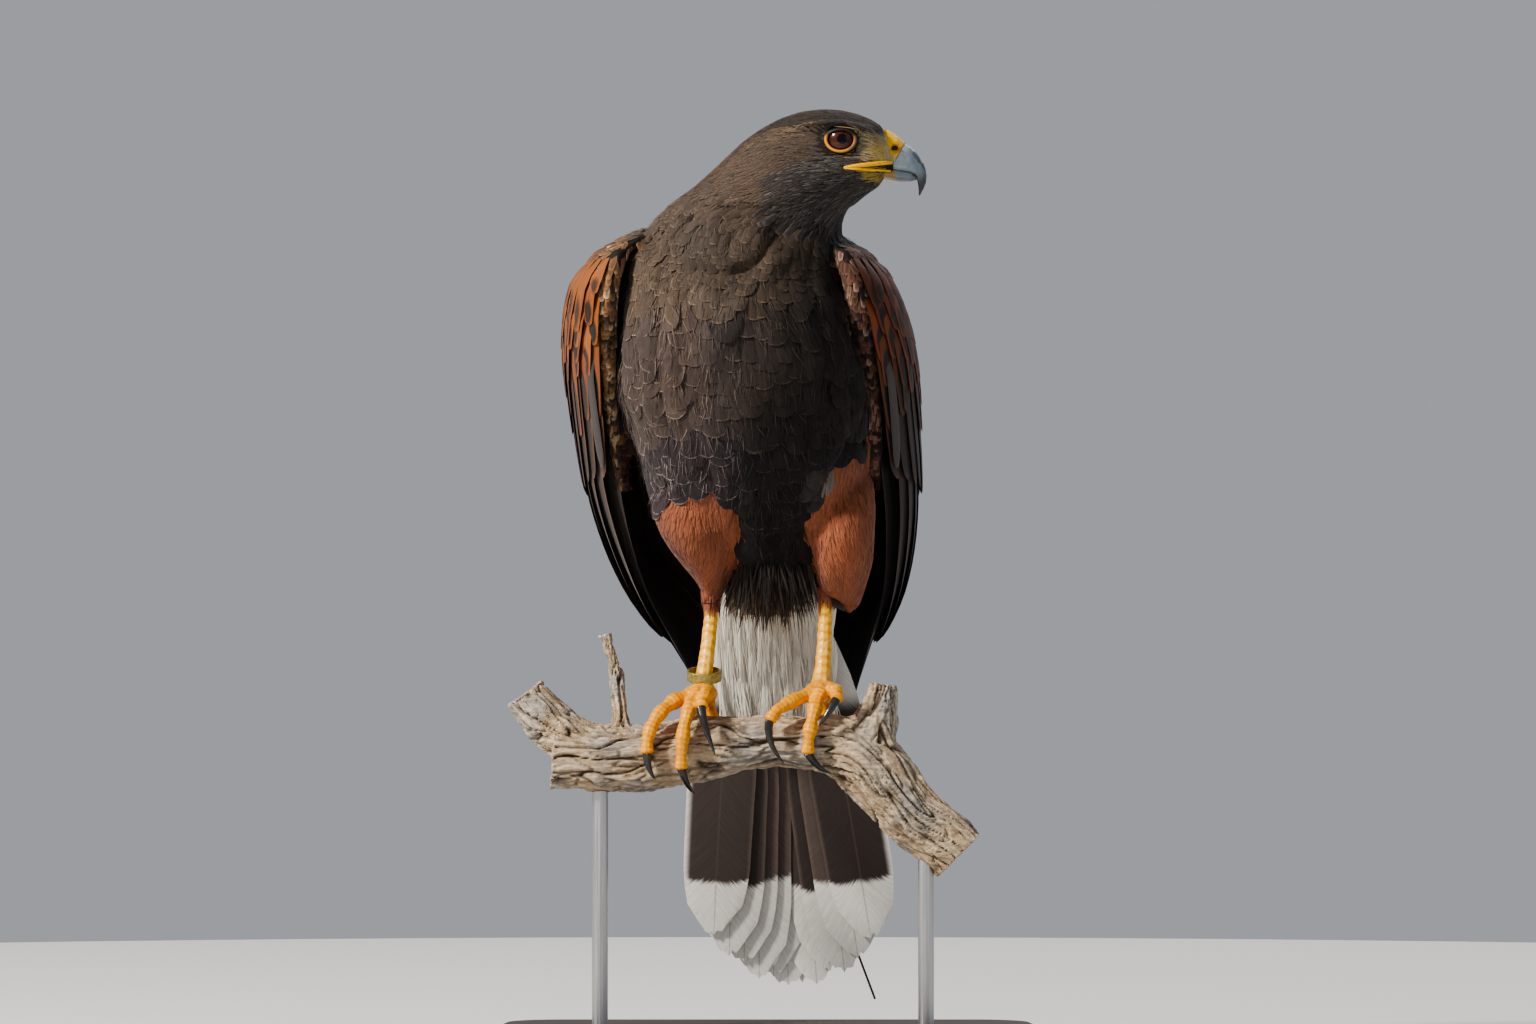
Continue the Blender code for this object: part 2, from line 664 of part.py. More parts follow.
def build_face(head):
    """Brows, lids, lips, eyes, cere, nostrils and bill."""
    extras, sockets = [], []
    for side, name in ((-1, "eye_right"), (1, "eye_left")):
        x, z = EYE
        skin = side_surface(head, x, z, side)
        middle = Vector((x, skin - side * EYE_DEPTH, z))
        outward = Vector((EYE_WAY[0], side, EYE_WAY[1])).normalized()
        rim = math.sqrt(EYE_RADIUS**2 - EYE_DEPTH**2)
        lid = []
        for k in range(LID["sides"]):
            around = turned(outward, 2 * math.pi * k / LID["sides"]) * (rim + LID["out"])
            lid.append((*(middle + outward * (EYE_DEPTH - LID["under"]) + around), LID["radius"]))
        extras.append(ring_bar("lid", lid, 4))
        brow = []
        for bx, bz, off, radius in BROW:
            brow.append((bx, side_surface(head, bx, bz, side) + side * off, bz, radius))
        extras.append(tube("brow", smooth_path(brow, 5), 6))
        for start, end in LIPS:
            lip = []
            for k in range(LIP_STEPS + 1):
                lx = start[0] + (end[0] - start[0]) * k / LIP_STEPS
                lz = start[1] + (end[1] - start[1]) * k / LIP_STEPS
                lip.append((lx, side_surface(head, lx, lz, side), lz, LIP_RADIUS))
            extras.append(tube("lip", lip, 5))
        sockets.append(ball("socket", middle, (EYE_RADIUS + GAP,) * 3, 9, 12, outward))
        ball(name, middle, (EYE_RADIUS,) * 3, 8, 12, outward, "eye")
    boolean(head, extras, "UNION")
    boolean(head, sockets, "DIFFERENCE")

    def bill(name, rows, finish, top_form, edge_form):
        rings = []
        for culmen, edge, half in rows:
            low, high = HEAD_MIDDLE_Y - half, HEAD_MIDDLE_Y + half
            rings.append(oval(culmen, edge, low, high, BILL_SIDES, top_form, edge_form))
        return loft(name, rings, finish)

    cere = bill("cere", CERE, "skin", 1.9, 3.4)
    hook_path = smooth_path([(*culmen, *edge, half) for culmen, edge, half in HOOK], HOOK_STEPS)
    hook_rows = [((r[0], r[1]), (r[2], r[3]), r[4]) for r in hook_path]
    hook = bill("bill_upper", hook_rows, "bill", 1.9, 3.4)
    lower = bill("bill_lower", LOWER_BILL, "bill", 3.6, 2.0)
    nostrils = []
    for side in (-1, 1):
        skin = side_surface(cere, *NOSTRIL, side)
        nostrils.append(ball("nostril", (NOSTRIL[0], skin + side * 0.3, NOSTRIL[1]), NOSTRIL_RADII, 6, 10))
    for part in (cere, hook, lower):
        make_room(head, part)
    boolean(cere, nostrils, "DIFFERENCE")
    dress(head, "plumage")
    dress(cere, "skin")


def turned(outward, angle):
    """A unit vector at an angle round the outward one."""
    up = (Vector((0, 0, 1)) - outward * outward.z).normalized()
    return up * math.cos(angle) + outward.cross(up) * math.sin(angle)


def ring_bar(name, stations, sides):
    """A closed ring of round bar through (x, y, z, radius) stations."""
    count = len(stations)
    places = [Vector(s[:3]) for s in stations]
    middle = sum(places, Vector()) / count
    axis = (places[0] - middle).cross(places[count // 4] - middle).normalized()
    points, faces = [], []
    for i, place in enumerate(places):
        out = (place - middle).normalized()
        for k in range(sides):
            a = 2 * math.pi * k / sides
            points.append(place + (out * math.cos(a) + axis * math.sin(a)) * stations[i][3])
    for i in range(count):
        j = (i + 1) % count
        for k in range(sides):
            n = (k + 1) % sides
            faces.append((i * sides + k, i * sides + n, j * sides + n, j * sides + k))
    return mesh_object(name, points, faces)


def wing_arc(z):
    """Middle, radius, first angle and sweep of the level arc of a wing at a height."""
    _, lead_x, lead_y, back_x, back_y, bulge = interpolated(WING, z)
    run = math.hypot(back_x - lead_x, back_y - lead_y)
    radius = (run * run / 4 + bulge * bulge) / (2 * bulge)
    middle_x = (lead_x + back_x) / 2 + (back_y - lead_y) / run * (bulge - radius)
    middle_y = (lead_y + back_y) / 2 - (back_x - lead_x) / run * (bulge - radius)
    first = math.atan2(lead_y - middle_y, lead_x - middle_x)
    last = math.atan2(back_y - middle_y, back_x - middle_x)
    return middle_x, middle_y, radius, first, (last - first) % (2 * math.pi)


def wing_place(side, z, share, up=0.0, across=0.0):
    """A point of a folded wing: a share of the way round it at a height, moved across and off its surface."""
    middle_x, middle_y, radius, first, sweep = wing_arc(z)
    reach = radius + up + interpolated(RELIEF, z)[1]
    angle = first + sweep * share + across / reach
    held = SPREAD[side] * min(max((z - 200.0) / 90.0, 0.0), 1.0) * (1 - 0.8 * min(max(share, 0.0), 1.0))
    x = lean_x(min(z, LEAN_TOP)) + side * (middle_x + held + reach * math.cos(angle))
    return Vector((x, middle_y + reach * math.sin(angle), z))


def wing_round(z):
    """The way round a wing at a height, from its leading edge to its back edge."""
    _, _, radius, _, sweep = wing_arc(z)
    return radius * sweep


def wing_core(side):
    """The flesh and small coverts: thickest over the arm, and stepped down under each tier of feathers."""
    rings = []
    for z, fall, thick in WING_CORE:
        outer, inner = [], []
        for k in range(CORE_STEPS + 1):
            share = k / CORE_STEPS
            edge = CORE_EDGE if k in (0, CORE_STEPS) else 0.0
            bulge = 0.35 + 0.65 * math.sin(math.pi * share)
            flesh = min(thick, CORE_THIN) + max(thick - CORE_THIN, 0.0) * bulge
            outer.append(wing_place(side, z, share, -fall - edge))
            inner.append(wing_place(side, z, share, -fall - max(flesh, edge + 1.0)))
        rings.append(outer + inner[::-1])
    top = sum(rings[0], Vector()) / len(rings[0]) + Vector((0, 0, 1.5))
    return loft("core", rings, None, top)


def wing_hand(side):
    """The rounded leading edge, from the wrist down to the roots of the primaries."""
    stations = []
    for k in range(HAND["steps"] + 1):
        q = k / HAND["steps"]
        place = wing_place(side, HAND["top"] - HAND["long"] * q, HAND["share"], -4.6 - 6.0 * q)
        stations.append((*place, (3.4 if k == 0 else 5.3) - 2.0 * q**1.5))
    return tube("hand", stations, 8)


def wing_vanes(side):
    """Each feather of a tier dips under the next one, but the primaries lie in a stack."""
    made = []
    for name, count, root_z, tip_z, root_t, tip_t, half_width, depth in WING_TIERS:
        stacked = name == "primaries"
        for k in range(count):
            q = k / (count - 1)
            z1 = tip_z[0] + (tip_z[1] - tip_z[0]) * q
            if stacked:
                z1 += PRIMARY_CURVE[0] * (1 - q) ** 3 - PRIMARY_CURVE[1] * math.sin(math.pi * q)
            t0 = root_t[0] + (root_t[1] - root_t[0]) * q
            t1 = tip_t[0] + (tip_t[1] - tip_t[0]) * q
            gaps = [(t[1] - t[0]) / (count - 1) for t in (root_t, tip_t)]
            level = depth + (k * STACK_STEP if stacked else 0.0)
            shares = FLIGHT_SHARES if name in ("primaries", "secondaries") else COVERT_SHARES
            stations = ((0.0, 0.7), (ROOT_RUN / (root_z - z1), 0.85), *shares)

            def place(share, across, up, ends=(root_z, z1, t0, t1), level=level, gaps=gaps, stacked=stacked):
                z0, z1, t0, t1 = ends
                z = z0 + (z1 - z0) * share
                spacing = (gaps[0] + (gaps[1] - gaps[0]) * share) * wing_round(z)
                dip = 0.0 if stacked else across * DIP_STEP / spacing
                return wing_place(side, z, t0 + (t1 - t0) * share, up - level - dip, across)

            made.append(vane(name, place, half_width, stations, sink=ROOT_SINK))
    return made


def wing_rooms(side):
    """The space that a wing takes up: its flesh, its hand and one sheet over all its feathers."""
    rooms = []
    for form in (wing_core(side), wing_hand(side)):
        rooms.append(grown(form))
        bpy.data.objects.remove(form)
    rings = []
    high, low = ROOM_LEVELS
    for z in ROOM_HEIGHTS:
        outer = [wing_place(side, z, k / 6, high, ROOM_MARGIN * (k / 3 - 1)) for k in range(7)]
        inner = [wing_place(side, z, k / 6, low, ROOM_MARGIN * (k / 3 - 1)) for k in range(7)]
        rings.append(outer + inner[::-1])
    rooms.append(loft("room", rings))
    return rooms


def build_wing(side, name, torso):
    core = wing_core(side)
    core.name = name
    boolean(core, [wing_hand(side)] + wing_vanes(side), "UNION")
    make_room(core, torso, by=TORSO_GAP)
    return core


def tail_place(along, across, up):
    """A point in the tail's own frame: along it from the root, across to the left, and up off its back."""
    aside = Vector((1, 0, 0)) - TAIL_WAY * TAIL_WAY.x
    aside.normalize()
    back = aside.cross(TAIL_WAY)
    if back.y < 0:
        back = -back
    return TAIL_ROOT + TAIL_WAY * along + aside * across + back * up


def tail_rank(side, pair):
    """Layers from the back of the tail down: the middle pair on top, the outermost pair lowest."""
    return 2 * pair + (0 if side == LEFT else 1)


def tail_block(name, rows, finish=None):
    """A rounded flat block in the tail's own frame, through (along, half width, low, high) rows."""
    rings = []
    for along, half, low, high in rows:
        middle, tall = (low + high) / 2, (high - low) / 2
        ring = []
        for k in range(TAIL_BLOCK_SIDES):
            a = 2 * math.pi * k / TAIL_BLOCK_SIDES
            across = half * power(math.cos(a), TAIL_BLOCK_FORM)
            ring.append(tail_place(along, across, middle + tall * power(math.sin(a), TAIL_BLOCK_FORM)))
        rings.append(ring)
    return loft(name, rings, finish)


def build_tail(torso):
    lowest = -TAIL_LAYER * (TAIL_FEATHERS - 1) - VANE_THICK
    rows = ((-4.0, 20.0, lowest - 1.2, 1.2), (14.0, 24.0, lowest - 1.2, 1.2), (26.0, 27.0, lowest - 0.4, 0.5))
    root = tail_block("tail", rows)
    vanes = []
    for side in (RIGHT, LEFT):
        for pair in range(TAIL_FEATHERS // 2):
            length = TAIL_LENGTH - TAIL_STEPS[side] * pair - TAIL_ROUNDING * pair**2
            layer = -TAIL_LAYER * tail_rank(side, pair)

            def place(share, across, up, side=side, pair=pair, length=length, layer=layer):
                gap = TAIL_SPREAD[0] + (TAIL_SPREAD[1] - TAIL_SPREAD[0]) * share**0.7
                aside = side * gap * (pair + 0.5)
                sag = -TAIL_SAG * (aside * share) ** 2
                along = TAIL_FEATHER_START + (length - TAIL_FEATHER_START) * share
                return tail_place(along, aside + across, layer + up + sag)

            vanes.append(vane("rectrix", place, TAIL_FEATHER_HALF_WIDTH, TAIL_SHARES, columns=2))
    boolean(root, vanes, "UNION")
    make_room(root, torso, by=TORSO_GAP)
    dress(root, "flight")


def build_tail_coverts(name, forms, torso):
    """White coverts over the root of the tail, on its underside or its back."""
    core = tail_block(name, forms["rows"])
    side, tip_level = forms["side"], forms["tip_level"]
    vanes = []
    for count, off, spread, root, tip, half_width in forms["tiers"]:
        for k in range(count):
            q = 2 * k / (count - 1) - 1

            def place(share, across, up, q=q, off=off, spread=spread, root=root, tip=tip, k=k):
                along = root + (tip - 7.0 * q * q - root) * share
                aside = spread * q * (0.8 + 0.2 * share)
                level = off * (1 - share) + tip_level * share + side * 1.0 * (k % 2)
                return tail_place(along, aside + across, level + up)

            vanes.append(vane("covert", place, half_width, COVERT_VANE, thick=0.8, columns=2))
    boolean(core, vanes, "UNION")
    make_room(core, torso, by=TORSO_GAP)
    dress(core, "white")
    return core


def build_thigh(side, torso, covert):
    rings = []
    rows = smooth_path(THIGHS[side], 8)
    for x, y, z, half, deep in rows:
        rings.append(oval((x - half, z), (x + half, z), y - deep, y + deep, 16, 2.1, 2.1))
    end = Vector(rows[-1][:3]) - Vector((0, 0, 1.6))
    top = Vector(rows[0][:3]) + Vector((0, 0, 5.0))
    thigh = loft("thigh_right" if side == RIGHT else "thigh_left", rings, None, top, end)
    make_room(thigh, torso, by=TORSO_GAP)
    for room in wing_rooms(side):
        boolean(thigh, [room], "DIFFERENCE")
    make_room(thigh, covert)
    dress(thigh, "chestnut")
    return thigh


def build_foot(side, thigh):
    """Tarsus with the ball of the foot, then toes and claws, each a node of its own."""
    word = "right" if side == RIGHT else "left"
    shaft = [(*p, r) for p, r in zip(TARSI[side], TARSUS_RADII)]
    tarsus = tube("tarsus_" + word, smooth_path(shaft, 7), 10)
    boolean(tarsus, [ball("hub", HUBS[side], HUB_RADII, 7, 12)], "UNION")
    clear_of_perch(tarsus)
    make_room(tarsus, thigh)
    dress(tarsus, "skin")
    toes = []
    for digit in (1, 2, 3, 4):
        points = TOES[side, digit]
        steps = 2 * (len(points) - 1)
        stations = []
        for k, place in enumerate(smooth_path(points, steps)):
            q = k / steps
            pad = 1.0 if k % 2 else TOE_PAD
            stations.append((*place, TOE_RADIUS * (1.04 - TOE_TAPER * q) * pad))
        toe = tube(f"toe_{word}_{digit}", stations, 8)
        make_room(toe, tarsus)
        clear_of_perch(toe)
        for other in toes:
            make_room(toe, other)
        dress(toe, "skin")
        toes.append(toe)
    for digit, toe in zip((1, 2, 3, 4), toes):
        start, bend, tip = (Vector(p) for p in CLAWS[side, digit])
        inward = (start - Vector(TOES[side, digit][-1])).normalized()
        begin = start - inward * CLAW_ROOT
        stations = []
        for k in range(CLAW_STEPS + 1):
            q = k / CLAW_STEPS
            place = begin.lerp(bend, q).lerp(bend.lerp(tip, q), q)
            stations.append((*place, CLAW_RADIUS * (1 - q) ** 0.7 + 0.28))
        claw = tube(f"claw_{word}_{digit}", stations, 6)
        make_room(claw, toe)
        clear_of_perch(claw)
        dress(claw, "horn")
    return tarsus


def perch_bar(name, extra=0.0):
    """The branch itself with its ridges, or the room that it takes up when extra is the gap round it."""
    chance = random.Random(PERCH_SEED)
    rows = smooth_path([(x, 0.0, z, r) for x, z, r in PERCH], PERCH_STEPS)
    rings = []
    for i, (x, y, z, radius) in enumerate(rows):
        a, b = rows[max(i - 1, 0)], rows[min(i + 1, len(rows) - 1)]
        way = Vector((b[0] - a[0], 0, b[2] - a[2])).normalized()
        up = Vector((-way.z, 0, way.x))
        ring = []
        for k in range(PERCH_SIDES):
            angle = 2 * math.pi * k / PERCH_SIDES
            ridge = 0.035 * math.sin(5 * angle + 0.25 * i) + 0.03 * math.sin(7 * angle - 0.4 * i)
            reach = radius * (1 + ridge + 0.02 * chance.uniform(-1, 1)) + extra
            outward = up * math.cos(angle) + Vector((0, 1, 0)) * math.sin(angle)
            ring.append(Vector((x, y, z)) + outward * reach)
        rings.append(ring)
    return loft(name, rings)


def build_perch():
    """A cut length of dead branch, with a fork, a broken knuckle and a twig."""
    perch = perch_bar("perch")
    fork = tube("fork", smooth_path(FORK, 4), 10, flat_ends=True)
    knuckle = tube("knuckle", smooth_path(KNUCKLE, 4), 9, flat_ends=True)
    twig = tube("twig", smooth_path(TWIG, 6), 8, flat_ends=True)
    boolean(perch, [fork, knuckle, twig], "UNION")
    dress(perch, "wood")
    return perch


def clear_of_perch(item):
    return boolean(item, [perch_bar("room", GAP)], "DIFFERENCE")


def build_band(foot):
    """The ring that the bird wears on its right leg."""
    x, y, z = BAND["middle"]
    turn = Matrix.Rotation(math.radians(BAND["tilt"]), 3, "X")
    outer, wall, half, sides = BAND["outer"], BAND["wall"], BAND["height"] / 2, BAND["sides"]
    points, faces = [], []
    corners = ((outer, -half), (outer, half), (outer - wall, half), (outer - wall, -half))
    for k in range(sides):
        a = 2 * math.pi * k / sides
        for radius, up in corners:
            points.append(Vector((x, y, z)) + turn @ Vector((radius * math.cos(a), radius * math.sin(a), up)))
    for k in range(sides):
        n = (k + 1) % sides
        for c in range(4):
            d = (c + 1) % 4
            faces.append((4 * k + c, 4 * n + c, 4 * n + d, 4 * k + d))
    band = mesh_object("leg_band", points, faces, "band")
    make_room(band, foot)
    dress(band, "band")
    return band


def build_radio():
    """A small radio case on the back of the tail and its whip aerial, which shows below the feathers."""
    wide, deep, long = RADIO["size"]
    rings = []
    for share, size in ((-0.5, 0.6), (-0.4, 0.95), (0.4, 0.95), (0.5, 0.6)):
        ring = []
        for k in range(12):
            a = 2 * math.pi * k / 12
            across = wide / 2 * size * power(math.cos(a), 0.6)
            up = deep / 2 * size * power(math.sin(a), 0.6)
            ring.append(tail_place(RADIO["along"] + share * long, across, RADIO["off"] + up))
        rings.append(ring)
    loft("tail_radio", rings, "rubber")
    start = tail_place(RADIO["along"] + long / 2 + GAP, 0.5, RADIO["off"])
    stations = []
    for k in range(7):
        q = k / 6
        bow = Vector((0, 4.0 * math.sin(math.pi * q), 0))
        stations.append((*(start.lerp(AERIAL_TIP, q) + bow), AERIAL_RADIUS))
    tube("tail_aerial", stations, 6, "rubber", flat_ends=True)


def build_stand(perch):
    long, deep, high = BASE_SIZE
    outline = []
    for corner in range(4):
        cx = (long / 2 - BASE_CORNER) * (1 if corner in (0, 3) else -1)
        cy = (deep / 2 - BASE_CORNER) * (1 if corner in (0, 1) else -1)
        for k in range(7):
            a = math.pi / 2 * (corner + k / 6)
            outline.append((cx, cy, math.cos(a), math.sin(a)))
    rings = []
    bevel = BASE_BEVEL
    for z, inset in ((0.0, 0.0), (high - bevel, 0.0), (high - 0.3 * bevel, 0.3 * bevel), (high, bevel)):
        reach = BASE_CORNER - inset
        rings.append([Vector((cx + reach * c, cy + reach * s, z)) for cx, cy, c, s in outline])
    loft("stand_base", rings, "stand")
    for name, x in ROD_PLACES.items():
        centre = interpolated(PERCH, x)[1]
        ends = [(x, 0, high + GAP, ROD_RADIUS), (x, 0, centre, ROD_RADIUS)]
        rod = tube(name, ends, ROD_SIDES, "steel", flat_ends=True)
        make_room(rod, perch)
        dress(rod, "steel")


def main():
    clear_scene()
    torso, neck, head = build_torso_neck_head()
    build_face(head)
    perch = build_perch()
    build_tail(torso)
    under = build_tail_coverts("undertail_coverts", UNDER_COVERTS, torso)
    build_tail_coverts("uppertail_coverts", UPPER_COVERTS, torso)
    for side, name in ((RIGHT, "wing_right"), (LEFT, "wing_left")):
        wing = build_wing(side, name, torso)
        make_room(wing, neck)
        dress(wing, "flight")
    feet = {}
    for side in (RIGHT, LEFT):
        thigh = build_thigh(side, torso, under)
        feet[side] = build_foot(side, thigh)
    build_band(feet[RIGHT])
    build_radio()
    build_stand(perch)


main()
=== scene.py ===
# A perched harris hawk on a cut length of dead branch, held by a plain display stand.
# Lengths in the dictionaries are millimetres unless a note says otherwise.

import math

import bpy
import bmesh
import numpy as np
from mathutils import Matrix, Vector, noise
from mathutils.bvhtree import BVHTree


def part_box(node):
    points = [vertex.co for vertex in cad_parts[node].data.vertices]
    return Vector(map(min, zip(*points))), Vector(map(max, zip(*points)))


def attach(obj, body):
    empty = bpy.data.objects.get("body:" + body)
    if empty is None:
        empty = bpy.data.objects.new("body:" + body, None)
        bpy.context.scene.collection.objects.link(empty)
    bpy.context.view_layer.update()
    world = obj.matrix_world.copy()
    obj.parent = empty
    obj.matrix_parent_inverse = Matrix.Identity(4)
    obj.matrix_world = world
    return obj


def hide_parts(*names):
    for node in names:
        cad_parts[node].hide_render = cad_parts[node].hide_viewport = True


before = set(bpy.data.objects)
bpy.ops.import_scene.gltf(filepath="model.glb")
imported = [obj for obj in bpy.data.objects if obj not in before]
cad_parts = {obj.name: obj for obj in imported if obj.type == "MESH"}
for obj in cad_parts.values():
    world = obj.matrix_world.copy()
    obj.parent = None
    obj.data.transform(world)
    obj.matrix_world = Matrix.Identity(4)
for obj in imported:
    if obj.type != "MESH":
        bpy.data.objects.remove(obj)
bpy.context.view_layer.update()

mm = 0.001
right, left = -1, 1  # the bird's own sides, along X
labels = {right: "Right", left: "Left"}
chance = np.random.default_rng(7)
noise.seed_set(7)  # so that the coat's drift is the same in each run
studio = bpy.context.scene


# Camera, stage and light, in metres and watts

cameraSettings = {"height": 0.2763, "distance": 5.0, "lens": 234.4}

stageSettings = {"radius": 1.5, "tone": (0.74, 0.73, 0.71), "roughness": 0.9}

lightSettings = {
    "key": {"place": (-2.5, -1.75, 2.2), "size": 0.45, "power": 205.0, "tone": (1.0, 0.94, 0.86)},
    "fill": {"place": (2.6, -2.4, 1.0), "size": 2.2, "power": 4.0, "tone": (0.90, 0.95, 1.0)},
    "rim": {"place": (1.2, 2.0, 2.0), "size": 1.2, "power": 18.0, "tone": (1.0, 1.0, 1.0)},
}
lightAim = (0.0, 0.0, 0.28)
worldSettings = {"tone": (0.90, 0.93, 1.0), "strength": 0.36}


def placed(name, data):
    item = bpy.data.objects.new(name, data)
    studio.collection.objects.link(item)
    return item


def makeCamera():
    data = bpy.data.cameras.new("camera")
    data.lens = cameraSettings["lens"]
    camera = placed("camera", data)
    camera.location = (0.0, -cameraSettings["distance"], cameraSettings["height"])
    camera.rotation_euler = (math.pi / 2, 0.0, 0.0)
    studio.camera = camera


def makeStage():
    form = bmesh.new()
    bmesh.ops.create_circle(form, cap_ends=True, segments=128, radius=stageSettings["radius"])
    floor = finishForm(form, "floor")
    backdrop = newMaterial("backdrop", stageSettings["roughness"], Base_Color=(*stageSettings["tone"], 1.0))
    floor.data.materials.append(backdrop[0])


def makeLights():
    for name, light in lightSettings.items():
        data = bpy.data.lights.new(name, "AREA")
        data.shape = "DISK"
        data.size = light["size"]
        data.energy = light["power"]
        data.color = light["tone"]
        item = placed(name, data)
        item.location = light["place"]
        item.rotation_euler = (Vector(lightAim) - item.location).to_track_quat("-Z", "Y").to_euler()
    studio.view_settings.look = "AgX - Medium High Contrast"
    studio.world = bpy.data.worlds.new("studio")
    studio.world.use_nodes = True
    background = studio.world.node_tree.nodes["Background"]
    background.inputs["Color"].default_value = (*worldSettings["tone"], 1.0)
    background.inputs["Strength"].default_value = worldSettings["strength"]


# Meshes

def finishForm(form, name):
    mesh = bpy.data.meshes.new(name)
    form.to_mesh(mesh)
    form.free()
    mesh.shade_smooth()
    return placed(name, mesh)


def addSolids(form, nodes):
    # copies of the named solids, each with its doubled points joined
    for node in nodes:
        part = bmesh.new()
        part.from_mesh(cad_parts[node].data)
        bmesh.ops.remove_doubles(part, verts=part.verts, dist=1e-6)
        mesh = bpy.data.meshes.new("part")
        part.to_mesh(mesh)
        part.free()
        form.from_mesh(mesh)


def remesh(item, voxel, bridge, smoothing):
    # one closed skin round everything in the mesh
    if bridge:
        swell = item.modifiers.new("bridge", "DISPLACE")
        swell.mid_level = 0.0
        swell.strength = bridge * mm
    fuse = item.modifiers.new("fuse", "REMESH")
    fuse.mode = "VOXEL"
    fuse.voxel_size = voxel * mm
    ease = item.modifiers.new("ease", "SMOOTH")
    ease.iterations = smoothing
    ease.factor = 0.5
    graph = bpy.context.evaluated_depsgraph_get()
    mesh = bpy.data.meshes.new_from_object(item.evaluated_get(graph))
    item.modifiers.clear()
    item.data = mesh


def valuesOf(items, field, kind=np.float32, each=3):
    found = np.empty(len(items) * each, kind)
    items.foreach_get(field, found)
    return found.reshape(-1, each)


def pointsOf(mesh):
    return valuesOf(mesh.vertices, "co").astype(float) / mm


def normalsOf(mesh):
    return valuesOf(mesh.vertex_normals, "vector").astype(float)


def placePoints(mesh, points):
    mesh.vertices.foreach_set("co", (points * mm).astype(np.float32).ravel())
    mesh.update()


def setAttribute(mesh, name, kind, values):
    field = {"FLOAT": "value", "FLOAT_VECTOR": "vector", "FLOAT_COLOR": "color"}[kind]
    attribute = mesh.attributes.new(name, kind, "POINT")
    attribute.data.foreach_set(field, np.asarray(values, np.float32).ravel())


def loftRings(form, rings, poles=(None, None)):
    # a skin bridged over rings of points, closed by a flat end or drawn to a pole
    loops = []
    for ring in rings:
        verts = [form.verts.new(Vector(p) * mm) for p in ring]
        loops.append([form.edges.new((a, b)) for a, b in zip(verts, verts[1:] + verts[:1])])
    for a, b in zip(loops, loops[1:]):
        bmesh.ops.bridge_loops(form, edges=a + b)
    for pole, loop in zip(poles, (loops[0], loops[-1])):
        made = bmesh.ops.contextual_create(form, geom=loop)["faces"]
        if pole is not None and made:
            tip = bmesh.ops.poke(form, faces=made)["verts"][0]
            tip.co = Vector(pole) * mm


def tubeForm(form, stations, sides):
    # a round bar through (x, y, z, radius) stations
    places = [Vector(s[:3]) for s in stations]
    rings = []
    side = None
    for i, (place, station) in enumerate(zip(places, stations)):
        way = (places[min(i + 1, len(places) - 1)] - places[max(i - 1, 0)]).normalized()
        side = way.orthogonal() if side is None else side - way * side.dot(way)
        side.normalize()
        other = way.cross(side)
        turns = [2 * math.pi * k / sides for k in range(sides)]
        rings.append([place + (side * math.cos(a) + other * math.sin(a)) * station[3] for a in turns])
    first = (places[1] - places[0]).normalized() * stations[0][3] * 0.6
    last = (places[-1] - places[-2]).normalized() * stations[-1][3] * 0.6
    loftRings(form, rings, (places[0] - first, places[-1] + last))


def rowsAt(rows, at):
    # a smooth curve through rows of numbers, read where the first column has the value at
    keys = [row[0] for row in rows]
    if keys[0] > keys[-1]:
        rows, keys = rows[::-1], keys[::-1]
    at = min(max(at, keys[0]), keys[-1])
    i = max(0, min(len(keys) - 2, sum(k <= at for k in keys) - 1))
    span = keys[i + 1] - keys[i]
    q = (at - keys[i]) / span

    def slope(k, c):
        low, high = max(k - 1, 0), min(k + 1, len(rows) - 1)
        return (rows[high][c] - rows[low][c]) / (keys[high] - keys[low]) * span

    found = []
    for c in range(len(rows[0])):
        a, b, ta, tb = rows[i][c], rows[i + 1][c], slope(i, c), slope(i + 1, c)
        ends = (2 * q**3 - 3 * q**2 + 1) * a + (3 * q**2 - 2 * q**3) * b
        found.append(ends + (q**3 - 2 * q**2 + q) * ta + (q**3 - q**2) * tb)
    return found


def smoothPath(points, steps):
    rows = [(float(i), *p) for i, p in enumerate(points)]
    return [tuple(rowsAt(rows, (len(points) - 1) * k / steps)[1:]) for k in range(steps + 1)]


def stepUp(low, high, value):
    q = np.clip((np.asarray(value, float) - low) / (high - low), 0.0, 1.0)
    return q * q * (3 - 2 * q)


def between(ends, share):
    return ends[0] + (ends[1] - ends[0]) * share


def columns(*values):
    return np.stack(values, axis=1)


def unit(vectors):
    return vectors / np.maximum(np.linalg.norm(vectors, axis=-1, keepdims=True), 1e-9)


def noiseAt(points, scale):
    return np.array([noise.noise(Vector(p) / scale) for p in points.tolist()])


# Materials

def put(tree, kind, links=None, **settings):
    node = tree.nodes.new(kind)
    for name, value in settings.items():
        setattr(node, name, value)
    for socket, value in (links or {}).items():
        if isinstance(value, bpy.types.NodeSocket):
            tree.links.new(value, node.inputs[socket])
        else:
            node.inputs[socket].default_value = value
    return node


def calc(tree, operation, a, b=0.0, clamp=False):
    return put(tree, "ShaderNodeMath", {0: a, 1: b}, operation=operation, use_clamp=clamp).outputs[0]


def times(tree, a, b):
    return calc(tree, "MULTIPLY", a, b)


def plus(tree, a, b):
    return calc(tree, "ADD", a, b)


def less(tree, a, b):
    return calc(tree, "SUBTRACT", a, b)


def ramp(tree, value, low, high, first=0.0, last=1.0):
    sockets = {"Value": value, "From Min": low, "From Max": high, "To Min": first, "To Max": last}
    return put(tree, "ShaderNodeMapRange", sockets, interpolation_type="SMOOTHSTEP").outputs["Result"]


